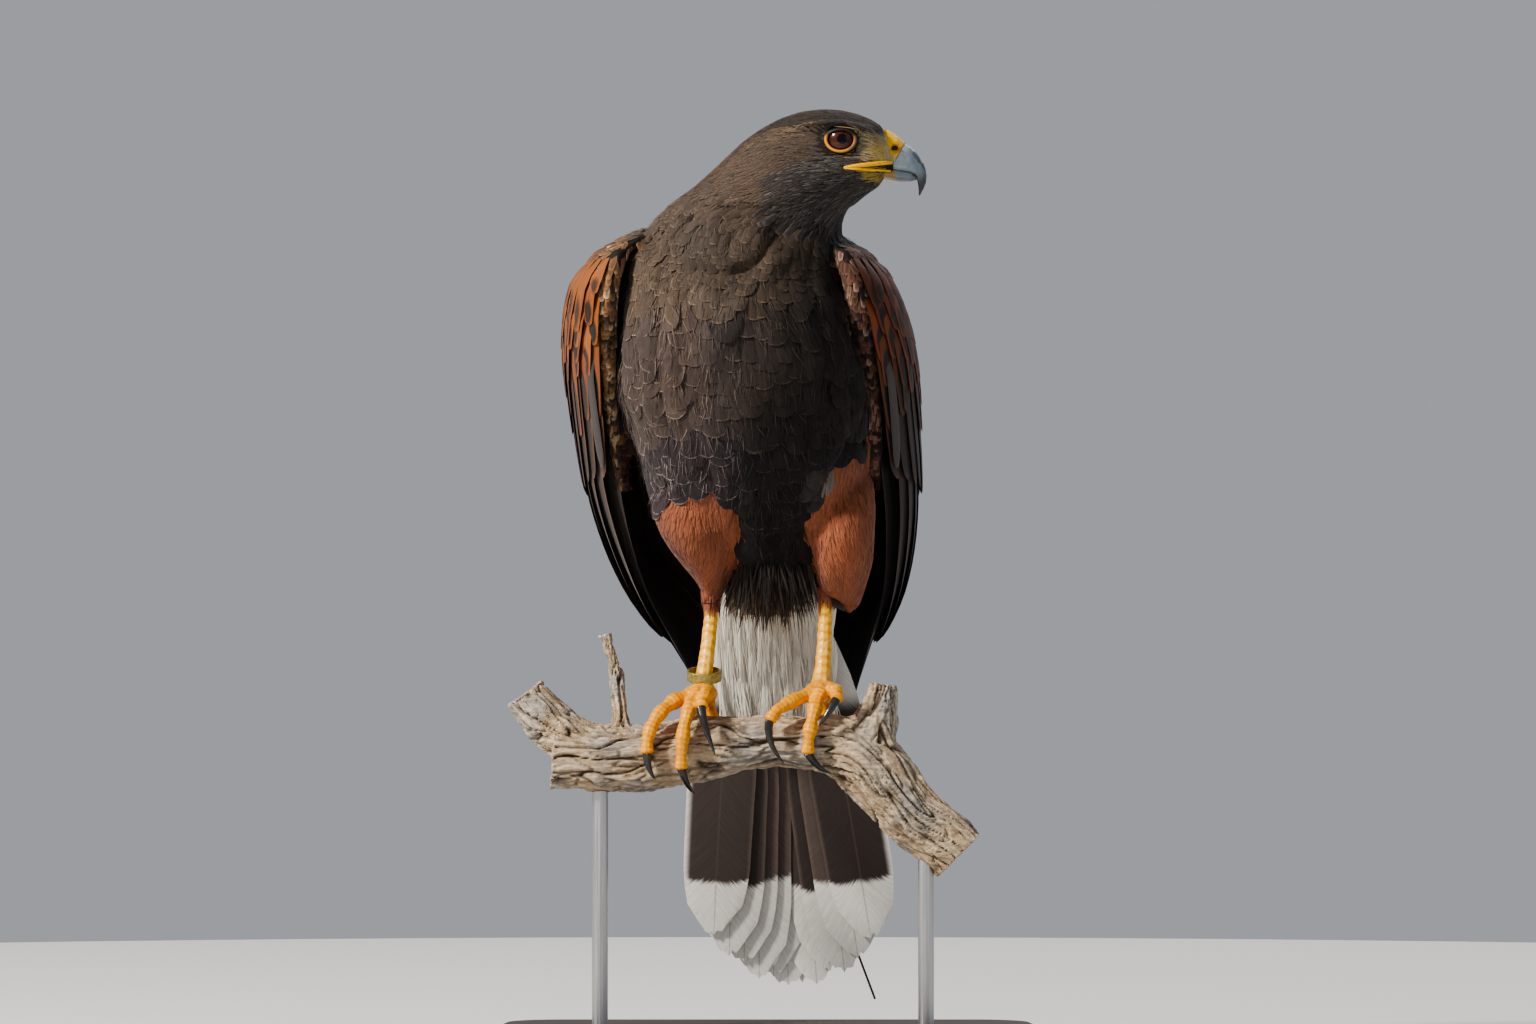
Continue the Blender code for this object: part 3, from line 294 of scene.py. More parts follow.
def mixTones(tree, factor, a, b):
    a, b = ((*tone, 1.0) if isinstance(tone, tuple) else tone for tone in (a, b))
    return put(tree, "ShaderNodeMix", {0: factor, 6: a, 7: b}, data_type="RGBA").outputs[2]


def scaledTone(tree, tone, by):
    return put(tree, "ShaderNodeVectorMath", {0: tone, "Scale": by}, operation="SCALE").outputs["Vector"]


def noiseOf(tree, vector, scale, detail=2.0, rough=0.5):
    sockets = {"Vector": vector, "Scale": scale, "Detail": detail, "Roughness": rough}
    return put(tree, "ShaderNodeTexNoise", sockets).outputs["Fac"]


def stretched(tree, vector, scale):
    return put(tree, "ShaderNodeMapping", {"Vector": vector, "Scale": scale}).outputs["Vector"]


def combined(tree, x, y, z):
    return put(tree, "ShaderNodeCombineXYZ", {0: x, 1: y, 2: z}).outputs[0]


def objectPlace(tree):
    return put(tree, "ShaderNodeTexCoord").outputs["Object"]


def attributeOf(tree, name, output="Color"):
    return put(tree, "ShaderNodeAttribute", attribute_name=name).outputs[output]


def newMaterial(name, roughness, **fixed):
    material = bpy.data.materials.new(name)
    material.use_nodes = True
    shader = material.node_tree.nodes["Principled BSDF"]
    for socket, value in {"Roughness": roughness, **fixed}.items():
        shader.inputs[socket.replace("_", " ")].default_value = value
    return material, material.node_tree, shader


def finishMaterial(tree, shader, tone, height, depth):
    # the tone into the shader's colour, and the height as relief of the depth
    tree.links.new(tone, shader.inputs["Base Color"])
    bump = put(tree, "ShaderNodeBump", {"Height": height, "Distance": depth * mm, "Strength": 1.0})
    tree.links.new(bump.outputs["Normal"], shader.inputs["Normal"])


def vaneParts(tree):
    # across and along the feather, its own number, and how far off its shaft
    parts = put(tree, "ShaderNodeSeparateXYZ", {0: attributeOf(tree, "vane", "Vector")})
    across, along, luck = parts.outputs
    return across, along, luck, calc(tree, "ABSOLUTE", across)


def barbNoise(tree, across, slanted, luck, barbs, rough):
    place = combined(tree, times(tree, across, 2.0), times(tree, slanted, barbs), times(tree, luck, 60.0))
    return noiseOf(tree, place, 1.0, 3.0, rough)


def vaneMaterial(name, roughness, barbs, barbDepth, shaftTone, contrast, slope=0.22, spotted=False):
    # a feather: its centre or dark spot, its paler fringe, the shaft, and barbs that slope to the tip
    material, tree, shader = newMaterial(name, roughness, Specular_IOR_Level=0.2, Sheen_Weight=0.1)
    across, along, luck, off = vaneParts(tree)
    slanted = less(tree, along, times(tree, off, slope))
    streak = barbNoise(tree, across, slanted, luck, barbs, 0.65)
    soft = noiseOf(tree, combined(tree, across, slanted, times(tree, luck, 31.0)), 2.6)
    rim = calc(tree, "MAXIMUM", off, less(tree, 1.0, times(tree, less(tree, 1.0, along), 2.4)))
    if spotted:
        wide = times(tree, off, 1.15)
        tall = times(tree, less(tree, along, 0.76), 3.6)
        rim = calc(tree, "SQRT", plus(tree, times(tree, wide, wide), times(tree, tall, tall)))
    worn = plus(tree, less(tree, streak, 0.5), times(tree, less(tree, soft, 0.5), 0.9))
    ragged = plus(tree, rim, times(tree, worn, 0.22))
    start = attributeOf(tree, "fringe", "Fac")
    edge = calc(tree, "DIVIDE", less(tree, ragged, start), less(tree, 1.03, start), clamp=True)
    tone = mixTones(tree, edge, attributeOf(tree, "centreTone"), attributeOf(tree, "fringeTone"))
    shade = ramp(tree, streak, 0.2, 0.8, 1 - contrast, 1 + contrast)
    shaded = scaledTone(tree, tone, times(tree, shade, ramp(tree, soft, 0.25, 0.75, 0.86, 1.14)))
    shaft = times(tree, ramp(tree, off, 0.02, 0.07, 1.0, 0.0), ramp(tree, along, 0.6, 0.95, 0.4, 0.0))
    finishMaterial(tree, shader, mixTones(tree, shaft, shaded, shaftTone), streak, barbDepth)
    return material


def toneMaterial(name, roughness, fuzzScale, bump, coat, cells=0.0):
    # colour from the mesh, a little mottled, with fine pores or small round scales
    fixed = {"Coat_Weight": coat, "Coat_Roughness": 0.12, "Specular_IOR_Level": 0.4}
    material, tree, shader = newMaterial(name, roughness, **fixed)
    place = objectPlace(tree)
    mottle = noiseOf(tree, place, fuzzScale, 4.0, 0.6)
    tone = scaledTone(tree, attributeOf(tree, "tone"), ramp(tree, mottle, 0.25, 0.75, 0.80, 1.20))
    height, final = mottle, tone
    if cells:
        sockets = {"Vector": place, "Scale": cells, "Randomness": 0.8}
        scales = put(tree, "ShaderNodeTexVoronoi", sockets, feature="DISTANCE_TO_EDGE")
        seam = ramp(tree, scales.outputs["Distance"], 0.0, 0.22)
        height = plus(tree, times(tree, mottle, 0.3), seam)
        seamed = mixTones(tree, less(tree, 1.0, seam), tone, (0.50, 0.20, 0.01))
        final = mixTones(tree, 0.86, seamed, tone)
    finishMaterial(tree, shader, final, height, bump)
    return material


def paintTones(mesh, tones):
    opaque = np.ones((len(tones), 1))
    setAttribute(mesh, "tone", "FLOAT_COLOR", np.concatenate([tones, opaque], axis=1))


def blendTones(first, second, share):
    share = np.clip(share, 0.0, 1.0)[:, None]
    return np.asarray(first) * (1 - share) + np.asarray(second) * share


def smoothCopy(name, nodes, voxel, smoothing, swell=0.0):
    # one smooth closed mesh round copies of the named solids
    form = bmesh.new()
    addSolids(form, nodes)
    item = finishForm(form, name)
    remesh(item, voxel, swell, smoothing)
    item.data.shade_smooth()
    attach(item, "root")
    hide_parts(*nodes)
    return item


def dressPiece(item, material, tones=None):
    if tones is not None:
        paintTones(item.data, tones)
    item.data.materials.clear()
    item.data.materials.append(material)
    print(item.name, len(item.data.polygons) * 2, "triangles")


# Vanes: every feather is a thin closed form, flat at its rim

def vaneTemplate(acrossSteps, alongSteps):
    form = bmesh.new()
    bmesh.ops.create_grid(form, x_segments=acrossSteps, y_segments=alongSteps, size=1.0)
    under = bmesh.ops.duplicate(form, geom=form.verts[:] + form.edges[:] + form.faces[:])["geom"]
    underVerts = {item for item in under if isinstance(item, bmesh.types.BMVert)}
    bmesh.ops.reverse_faces(form, faces=[item for item in under if isinstance(item, bmesh.types.BMFace)])
    for vert in form.verts:
        inside = max(abs(vert.co.x), abs(vert.co.y)) < 0.999
        vert.co.z = (-1.0 if vert in underVerts else 1.0) if inside else 0.0
    bmesh.ops.remove_doubles(form, verts=form.verts, dist=1e-5)
    form.verts.index_update()
    places = np.array([v.co for v in form.verts])
    faces = np.array([[v.index for v in f.verts] for f in form.faces])
    form.free()
    across, along, layer = places[:, 0], (places[:, 1] + 1) / 2, places[:, 2]
    levels = np.unique(np.round(along, 5))
    row = np.searchsorted(levels, np.round(along, 5))
    stations = np.unique(np.round(across, 5))
    column = np.searchsorted(stations, np.round(across, 5))
    tip = along > 0.999
    return {
        "across": across,
        "along": along,
        "layer": layer,
        "row": row,
        "levels": levels,
        "faces": faces,
        "notch": tip * np.abs(np.sin(1.9 * column)),
        "tip": tip.astype(float),
    }


templates = {
    "tiny": vaneTemplate(2, 3),
    "strand": vaneTemplate(2, 5),
    "small": vaneTemplate(8, 4),
    "middle": vaneTemplate(12, 5),
    "broad": vaneTemplate(20, 6),
    "long": vaneTemplate(10, 18),
}
featherLooks = {  # roughness, barbs, their depth, shaft's tone, contrast, the barbs' slope, spotted or not
    "bodyFeather": (0.66, 46.0, 0.16, (0.03, 0.02, 0.015), 0.30, 0.5),
    "flightFeather": (0.5, 90.0, 0.07, (0.05, 0.035, 0.03), 0.14),
    "covertFeather": (0.58, 60.0, 0.12, (0.05, 0.035, 0.03), 0.22, 0.35, True),
    "whiteFeather": (0.7, 44.0, 0.15, (0.6, 0.56, 0.48), 0.15, 0.7),
}
feathers = {name: vaneMaterial(name, *looks) for name, looks in featherLooks.items()}
sharpFrom = 75.0  # degrees
cellSize, patchSize = 0.0033, 0.003
vaneDefaults = {
    "outlineAt": (0.0, 0.3, 0.7, 1.0),
    "thick": 0.12,
    "fray": 0.0,
    "notch": 0.0,
    "patchSize": patchSize,
}


def growVanes(name, template, vanes, material, nodes=()):
    # vanes holds the feathers' spines, sides and ups at the template's rows, and their own numbers
    vanes = {**vaneDefaults, **vanes}
    kind = templates[template]
    row, across, along, layer = kind["row"], kind["across"], kind["along"], kind["layer"]
    spine, side, up = vanes["frames"]
    count, points = len(spine), len(across)
    tangent = unit(np.gradient(spine, axis=1))
    length = np.linalg.norm(np.diff(spine, axis=1), axis=2).sum(axis=1)[:, None]
    widest = np.broadcast_to(vanes["half"], count)[:, None]
    half = widest * np.interp(along, vanes["outlineAt"], vanes["outline"])[None, :]
    rimmed = np.abs(layer) < 0.5
    s = across[None, :] * (1.0 + vanes["fray"] * chance.normal(size=(count, points)) * rimmed)
    flat = half * s
    cupped = -vanes["cup"] * s**2 * half + layer * vanes["thick"] / 2
    rounded = vanes["round"] * widest * (1 - np.sqrt(1 - 0.97 * across**2)) * along**2
    notched = kind["notch"] * (0.5 + chance.random((count, points)))
    notched += kind["tip"] * 0.4 * chance.random((count, points))
    drawn = rounded + notched * vanes["notch"] * length
    places = spine[:, row] + side[:, row] * flat[..., None] + up[:, row] * cupped[..., None]
    places = (places - tangent[:, row] * drawn[..., None]).reshape(-1, 3)
    faces = (kind["faces"][None] + (np.arange(count) * points)[:, None, None]).reshape(-1, 4)
    mesh = bpy.data.meshes.new(name)
    mesh.vertices.add(len(places))
    mesh.vertices.foreach_set("co", (places * mm).astype(np.float32).ravel())
    mesh.loops.add(faces.size)
    mesh.loops.foreach_set("vertex_index", faces.astype(np.int32).ravel())
    mesh.polygons.add(len(faces))
    mesh.polygons.foreach_set("loop_start", np.arange(len(faces), dtype=np.int32) * 4)
    mesh.update(calc_edges=True)
    own = columns(np.tile(across, count), np.tile(along, count), np.repeat(vanes["luck"], points))
    setAttribute(mesh, "vane", "FLOAT_VECTOR", own)
    for tone, values in zip(("centreTone", "fringeTone"), vanes["tones"]):
        colours = np.concatenate([values, np.ones((count, 1))], axis=1)
        setAttribute(mesh, tone, "FLOAT_COLOR", np.repeat(colours, points, axis=0))
    setAttribute(mesh, "fringe", "FLOAT", np.repeat(np.broadcast_to(vanes["fringe"], count), points))
    if "margin" in vanes:
        outer = vanes["margin"][:, None] * across[None, :]
        setAttribute(mesh, "margin", "FLOAT", np.maximum(outer, 0.0).ravel())
    u = vanes["patch"][:, None, 0] + vanes["patchSize"] * (across[None, :] * 0.5 + 0.5)
    v = vanes["patch"][:, None, 1] + vanes["patchSize"] * along[None, :]
    bake = mesh.uv_layers.new(name="OFBake")
    bake.data.foreach_set("uv", columns(u.ravel(), v.ravel())[faces.ravel()].astype(np.float32).ravel())
    mesh.shade_smooth()
    mesh.set_sharp_from_angle(angle=math.radians(sharpFrom))
    item = placed(name, mesh)
    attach(item, "root")
    if nodes:
        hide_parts(*nodes)
    print(name, count, "vanes")
    dressPiece(item, material)


def freeCells(wanted):
    # each tuft's patch sits in a cell of its own, the nearest free one to its root's place on the unwrap
    steps = int(1.0 / cellSize) - 1
    taken, found = set(), []
    for u, v in np.clip((wanted * steps).astype(int), 0, steps - 1):
        reach, cell = 0, (u, v)
        while cell in taken:
            reach += 1
            span = range(-reach, reach + 1)
            ring = [(u + i, v + j) for i in span for j in span if max(abs(i), abs(j)) == reach]
            ring = [c for c in ring if c not in taken and 0 <= c[0] < steps and 0 <= c[1] < steps]
            cell = ring[0] if ring else cell
        taken.add(cell)
        found.append(cell)
    return np.array(found) * cellSize + (cellSize - patchSize) / 2 + 0.001


def gridCells(count):
    # large feathers have a wide cell each
    side = math.ceil(math.sqrt(count))
    return np.array([(k % side, k // side) for k in range(count)]) / side + 0.04 / side, 0.92 / side


# The body's own sizes, as the solids have them

bodyLean = {"slope": -0.103, "x": 0.5, "z": 231.5, "top": 388.0}
billBase = np.array([70.0, -36.0, 452.0])

wingRows = (
    (418.0, 40.0, -32.0, 32.0, -2.0, 10.8),
    (408.0, 54.0, -50.0, 37.0, 12.0, 20.5),
    (394.0, 61.0, -57.0, 37.0, 28.0, 28.8),
    (362.0, 65.0, -46.0, 30.0, 51.0, 39.5),
    (322.0, 68.0, -19.0, 24.0, 72.0, 41.5),
    (282.0, 67.0, 10.0, 19.0, 88.0, 41.0),
    (242.0, 60.0, 44.0, 14.0, 101.0, 34.0),
    (206.0, 49.0, 76.0, 11.0, 111.0, 19.0),
    (165.0, 34.0, 97.0, 9.0, 119.0, 7.0),
    (122.0, 22.0, 113.0, 8.0, 125.0, 3.0),
)
wingRelief = (
    (122.0, 5.2), (170.0, 5.2), (205.0, 4.2), (240.0, 3.4), (270.0, 1.9), (300.0, 0.4), (330.0, 0.0),
)
wingHeld = {right: 3.0, left: -2.6}
wingFlesh = (
    (417.5, 3.2, 8.0),
    (412.5, 1.2, 16.0),
    (404.0, 0.2, 22.0),
    (391.0, 0.0, 26.0),
    (377.0, 0.2, 25.0),
    (366.0, 1.2, 23.0),
    (353.0, 3.9, 19.0),
    (344.0, 3.9, 18.0),
    (331.0, 6.6, 14.0),
    (322.5, 6.6, 13.0),
    (311.0, 11.0, 6.0),
    (300.0, 11.6, 2.0),
)


def leanX(z):
    return bodyLean["x"] + bodyLean["slope"] * (z - bodyLean["z"])


def wingArc(z):
    leadX, leadY, backX, backY, bulge = rowsAt(wingRows, z)[1:]
    run = math.hypot(backX - leadX, backY - leadY)
    radius = (run * run / 4 + bulge * bulge) / (2 * bulge)
    middleX = (leadX + backX) / 2 + (backY - leadY) / run * (bulge - radius)
    middleY = (leadY + backY) / 2 - (backX - leadX) / run * (bulge - radius)
    first = math.atan2(leadY - middleY, leadX - middleX)
    last = math.atan2(backY - middleY, backX - middleX)
    return middleX, middleY, radius, first, (last - first) % (2 * math.pi)


def wingPlace(side, z, share, up=0.0, across=0.0):
    middleX, middleY, radius, first, sweep = wingArc(z)
    reach = radius + up + rowsAt(wingRelief, z)[1]
    angle = first + sweep * share + across / reach
    held = wingHeld[side] * min(max((z - 200.0) / 90.0, 0.0), 1.0) * (1 - 0.8 * min(max(share, 0.0), 1.0))
    x = leanX(min(z, bodyLean["top"])) + side * (middleX + held + reach * math.cos(angle))
    return Vector((x, middleY + reach * math.sin(angle), z))


def wingRound(z):
    arc = wingArc(z)
    return arc[2] * arc[4]


# Skin: one closed form under the whole coat

skinSettings = {
    "voxel": 1.7,
    "bridge": 0.45,
    "smoothing": 3,
    "wingDepth": 1.6,
    "depth": {"wing": 0.5, "body": 2.4, "head": 1.2, "thigh": 1.6, "bare": 0.8},
    "groove": (2.2, 4.5),
    "chinTuck": 3.0,
    "tone": (0.02, 0.015, 0.013),
    "bareTone": (0.40, 0.33, 0.18),
    "thighTone": (0.16, 0.05, 0.02),
}
kinds = {"body": 0, "thigh": 1, "wing": 2}


def wingFleshForm(form, side):
    deep = skinSettings["wingDepth"]
    rings = []
    for z, fall, thick in wingFlesh:
        outer, inner = [], []
        for k in range(13):
            share = k / 12
            edge = 1.2 if k in (0, 12) else 0.0
            flesh = min(thick, 3.0) + max(thick - 3.0, 0.0) * (0.35 + 0.65 * math.sin(math.pi * share))
            outer.append(wingPlace(side, z, share, -fall - edge - deep))
            inner.append(wingPlace(side, z, share, -fall - max(flesh, edge + deep + 1.0)))
        rings.append(outer + inner[::-1])
    loftRings(form, rings)
    hand = []
    for k in range(9):
        q = k / 8
        place = wingPlace(side, 405.0 - 117.0 * q, 0.03, -4.6 - 6.0 * q)
        hand.append((*place, (3.4 if k == 0 else 4.6) - 2.0 * q**1.5))
    tubeForm(form, hand, 12)


foldSettings = {
    "hood": (
        (-68.0, 427.0), (-57.0, 414.5), (-41.0, 401.5), (-22.0, 396.5), (-7.0, 402.0), (2.0, 416.0),
        (9.0, 431.0),
    ),
    "hoodOut": 1.7,
    "hoodIn": 2.6,
    "ridge": ((7.0, 403.0), (-6.0, 389.0), (-18.0, 372.0), (-26.0, 358.0)),
    "ridgeOut": 2.4,
    "clumps": 2.0,
}


def lineReach(points, line):
    # how far each point is from a line in the picture's plane, and on which side
    x, z = points[:, 0], points[:, 2]
    nearest = np.full(len(points), 1e9)
    signed = np.zeros(len(points))
    for (ax, az), (bx, bz) in zip(line, line[1:]):
        dx, dz = bx - ax, bz - az
        run = math.hypot(dx, dz)
        share = np.clip(((x - ax) * dx + (z - az) * dz) / run**2, 0, 1)
        gap = np.hypot(x - ax - share * dx, z - az - share * dz)
        beside = ((z - az) * dx - (x - ax) * dz) / run
        closer = gap < nearest
        nearest = np.where(closer, gap, nearest)
        signed = np.where(closer, np.sign(beside) * gap, signed)
    return signed


def folds(points, normals):
    # the hood of nape feathers that hangs over the breast, the breast's lit ridge, and looser clumps
    form = foldSettings
    front = stepUp(0.05, -0.45, normals[:, 1])
    hood = lineReach(points, form["hood"])
    over = form["hoodOut"] * np.exp(-((hood / 16.0) ** 2)) * stepUp(-0.9, 0.9, hood)
    under = form["hoodIn"] * np.exp(-((hood / 12.0) ** 2)) * stepUp(0.9, -0.9, hood)
    ridge = form["ridgeOut"] * np.exp(-((lineReach(points, form["ridge"]) / 5.5) ** 2))
    clumps = noiseAt(points, 21.0) * (stepUp(446.0, 425.0, points[:, 2]) * form["clumps"])
    x, y, z = points.T
    level = stepUp(308.0, 334.0, z) * stepUp(412.0, 400.0, z) * stepUp(25.0, 5.0, y)
    flank = np.where(x < 0, 6.0, 3.5) * stepUp(0.35, 0.9, np.abs(normals[:, 0])) * level
    return ((over - under) * stepUp(426.0, 410.0, z) + ridge) * front + clumps + flank


thighZones = {  # their outlines from the front; the coat above hangs a feather's length over them
    right: (
        (-66.0, 286.0), (-45.0, 293.0), (-27.0, 293.0), (-14.0, 288.0), (-14.5, 250.0), (-22.0, 226.0),
        (-62.0, 226.0),
    ),
    left: (
        (18.0, 281.0), (27.0, 289.0), (39.0, 311.0), (60.0, 318.0), (58.0, 222.0), (30.0, 222.0),
        (22.0, 238.0), (18.5, 256.0),
    ),
}


def insideLine(x, z, corners):
    inside = np.zeros(len(x), bool)
    for (ax, az), (bx, bz) in zip(corners, corners[1:] + corners[:1]):
        crosses = (az > z) != (bz > z)
        inside ^= crosses & (x < ax + (bx - ax) * (z - az) / ((bz - az) or 1e-9))
    return inside


def makeSkin():
    form = bmesh.new()
    tags = []
    for kind, names in (("body", ("torso", "neck", "head")), ("thigh", ("thigh_left", "thigh_right"))):
        addSolids(form, names)
        tags += [kinds[kind]] * (len(form.faces) - len(tags))
    for side in (right, left):
        wingFleshForm(form, side)
    tags += [kinds["wing"]] * (len(form.faces) - len(tags))
    for side in (right, left):
        tubeForm(form, [(x, headMiddle + side * (headMiddle - y), z, r) for x, y, z, r in browLine], 12)
    tags += [kinds["body"]] * (len(form.faces) - len(tags))
    bmesh.ops.recalc_face_normals(form, faces=form.faces)
    form.faces.ensure_lookup_table()
    sources = BVHTree.FromBMesh(form)
    skin = finishForm(form, "skin")
    remesh(skin, skinSettings["voxel"], skinSettings["bridge"], skinSettings["smoothing"])
    mesh = skin.data
    points, normals = pointsOf(mesh), normalsOf(mesh)
    tag = np.array([tags[sources.find_nearest(Vector(p) * mm)[2]] for p in points])
    x, y, z = points.T
    deep = skinSettings["depth"]
    grooveDeep, grooveWide = skinSettings["groove"]
    groove = np.zeros(len(points))
    tag = np.where((tag == kinds["thigh"]) & (z > 262) & (y < 8), kinds["body"], tag)
    for corners in thighZones.values():
        edge = np.abs(lineReach(points, corners))
        inside = insideLine(x, z, corners) & (y < 8) & (tag != kinds["wing"])
        tag = np.where(inside, kinds["thigh"], tag)
        groove += np.where(inside, grooveDeep * np.exp(-((edge / grooveWide) ** 2)), 0.0)
    depth = np.where(tag == kinds["wing"], deep["wing"], deep["body"])
    depth = np.where((tag == kinds["body"]) & (z > 428), deep["head"], depth)
    depth = np.where(tag == kinds["thigh"], deep["thigh"], depth)
    bare = faceShare(points)
    depth = depth * (1 - bare) + deep["bare"] * bare
    raised = folds(points, normals) * (tag == kinds["body"]) - groove * stepUp(236.0, 246.0, z)
    moved = points + normals * (raised - depth)[:, None]
    moved[:, 2] += skinSettings["chinTuck"] * stepUp(55.0, 59.0, x) * stepUp(445.0, 441.0, z)
    placePoints(mesh, moved)
    tones = blendTones(skinSettings["tone"], skinSettings["bareTone"], bare)
    tones = np.where((tag == kinds["thigh"])[:, None], skinSettings["thighTone"], tones)
    mesh.shade_smooth()
    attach(skin, "root")
    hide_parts("torso", "neck", "head", "thigh_left", "thigh_right")
    dressPiece(skin, skinMaterial(), tones)
    return skin, tag


def faceShare(points):
    # the nearly bare lores, between the eye and the cere
    x, z = points[:, 0], points[:, 2]
    return stepUp(44.0, 48.0, x) * stepUp(448.5, 450.0, z) * (1 - stepUp(462.0, 465.0, z))


def skinMaterial():
    material, tree, shader = newMaterial("skinAndDown", 0.75, Specular_IOR_Level=0.2)
    fuzz = noiseOf(tree, objectPlace(tree), 900.0, 3.0, 0.6)
    tone = scaledTone(tree, attributeOf(tree, "tone"), ramp(tree, fuzz, 0.25, 0.75, 0.7, 1.3))
    finishMaterial(tree, shader, tone, fuzz, 0.25)
    return material


# Head: eyes, lids, brow, bill and cere

eyeForm = {
    "middle": (35.8, 460.4),
    "depth": {right: -55.1, left: -17.0},
    "radius": 8.4,
    "gaze": (0.10, 0.02),
    "pupil": 2.55,
    "iris": 6.4,
    "lidOuter": 8.6,
    "lid": ((6.2, 5.3), (6.35, 6.0), (6.75, 6.5), (7.3, 6.65), (7.9, 6.3), (8.5, 5.4), (9.1, 4.0)),
}
browLine = (
    (53.0, -53.0, 463.0, 1.4),
    (48.0, -57.0, 465.4, 2.1),
    (42.0, -59.9, 467.3, 2.6),
    (35.0, -60.9, 468.3, 2.8),
    (27.0, -61.0, 468.4, 2.5),
    (20.0, -60.0, 467.9, 1.7),
    (14.0, -57.8, 467.4, 0.7),
)
headMiddle = -36.0
headTones = {
    "amber": (0.62, 0.25, 0.02),
    "amberDull": (0.20, 0.09, 0.03),
    "lidDarkAndBrowShadow": (0.02, 0.014, 0.011),
    "browEdgeHighlight": (0.30, 0.205, 0.11),
    "cere": (0.83, 0.47, 0.012),
    "cereWarm": (0.42, 0.17, 0.03),
    "cerePale": (0.44, 0.36, 0.20),
    "gape": (0.86, 0.47, 0.01),
    "billPale": (0.33, 0.40, 0.44),
    "billMiddle": (0.17, 0.215, 0.25),
    "billDark": (0.026, 0.022, 0.024),
    "billBase": (0.32, 0.23, 0.07),
}


def eyeMaterial():
    fixed = {"Coat_Weight": 0.55, "Coat_Roughness": 0.02, "Specular_IOR_Level": 0.1}
    material, tree, shader = newMaterial("eyeball", 0.3, **fixed)
    reach = attributeOf(tree, "reach", "Fac")
    fibre = noiseOf(tree, attributeOf(tree, "spoke", "Vector"), 7.0, 4.0, 0.7)
    iris = mixTones(tree, ramp(tree, fibre, 0.3, 0.7), (0.030, 0.009, 0.006), (0.092, 0.026, 0.012))
    iris = mixTones(tree, ramp(tree, reach, 4.9, 6.3), iris, (0.012, 0.006, 0.004))
    pupil = ramp(tree, reach, eyeForm["pupil"] - 0.15, eyeForm["pupil"] + 0.2)
    tone = mixTones(tree, pupil, (0.002, 0.002, 0.002), iris)
    tree.links.new(tone, shader.inputs["Base Color"])
    return material


def makeEye(side, material):
    node = f"eye_{labels[side].lower()}"
    x, z = eyeForm["middle"]
    middle = Vector((x, eyeForm["depth"][side], z))
    out = Vector((eyeForm["gaze"][0], float(side), eyeForm["gaze"][1])).normalized()
    form = bmesh.new()
    bmesh.ops.create_uvsphere(form, u_segments=64, v_segments=48, radius=eyeForm["radius"] * mm)
    bmesh.ops.transform(form, matrix=out.to_track_quat("Z", "X").to_matrix().to_4x4(), verts=form.verts)
    bmesh.ops.translate(form, vec=middle * mm, verts=form.verts)
    eye = finishForm(form, node.replace("eye", "eyeball"))
    mesh = eye.data
    gaps = pointsOf(mesh) - np.array(middle)
    ahead = gaps @ np.array(out)
    off = gaps - ahead[:, None] * np.array(out)
    reach = np.where(ahead > 0, np.linalg.norm(off, axis=1), eyeForm["radius"])
    setAttribute(mesh, "reach", "FLOAT", reach)
    setAttribute(mesh, "spoke", "FLOAT_VECTOR", unit(off) + 0.05 * ahead[:, None])
    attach(eye, "root")
    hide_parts(node)
    dressPiece(eye, material)


def makeLids(side, material):
    x, z = eyeForm["middle"]
    form = bmesh.new()
    depth = eyeForm["depth"][side]
    verts = [form.verts.new(Vector((x + r, depth + side * out, z)) * mm) for r, out in eyeForm["lid"]]
    edges = [form.edges.new(pair) for pair in zip(verts, verts[1:])]
    middle = Vector((x, 0.0, z)) * mm
    turns = {"cent": middle, "axis": (0.0, 1.0, 0.0), "angle": 2 * math.pi, "steps": 72}
    bmesh.ops.spin(form, geom=verts + edges, use_merge=True, **turns)
    bmesh.ops.subdivide_edges(form, edges=form.edges, cuts=1, smooth=0.8)
    bmesh.ops.recalc_face_normals(form, faces=form.faces)
    bmesh.ops.solidify(form, geom=form.faces[:], thickness=0.5 * mm)
    bmesh.ops.recalc_face_normals(form, faces=form.faces)
    lids = finishForm(form, f"lids{labels[side]}")
    points = pointsOf(lids.data)
    turn = np.arctan2(points[:, 2] - z, points[:, 0] - x)
    reach = np.hypot(points[:, 0] - x, points[:, 2] - z)
    above = stepUp(-0.2, 0.5, np.sin(turn))
    out = side * (1.25 + 0.85 * above) * np.sin(turn) ** 2
    placePoints(lids.data, points + columns(0 * turn, out, -(0.17 + 0.17 * above) * (points[:, 2] - z)))
    above = stepUp(0.05, 0.6, np.sin(turn))
    ahead = stepUp(0.1, 0.9, np.cos(turn)) * 0.85
    tones = blendTones(headTones["amber"], headTones["amberDull"], ahead)
    # painted shadow of the brow: the ring's upper half goes dark, and its outer edge is darkened as well
    tones = blendTones(tones, headTones["lidDarkAndBrowShadow"], np.maximum(above, stepUp(7.7, 8.2, reach)))
    tones = blendTones(tones, headTones["lidDarkAndBrowShadow"], stepUp(6.6, 6.3, reach))
    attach(lids, "root")
    dressPiece(lids, material, tones)


gapeForm = (
    ((37.6, 446.6, 0.4), (42.0, 447.2, 0.85), (48.0, 447.9, 1.05), (54.0, 448.6, 1.1), (61.0, 449.4, 0.9)),
    ((37.6, 446.2, 0.4), (42.0, 446.0, 0.8), (48.0, 445.7, 0.75), (54.0, 445.4, 0.6), (62.0, 445.2, 0.4)),
)


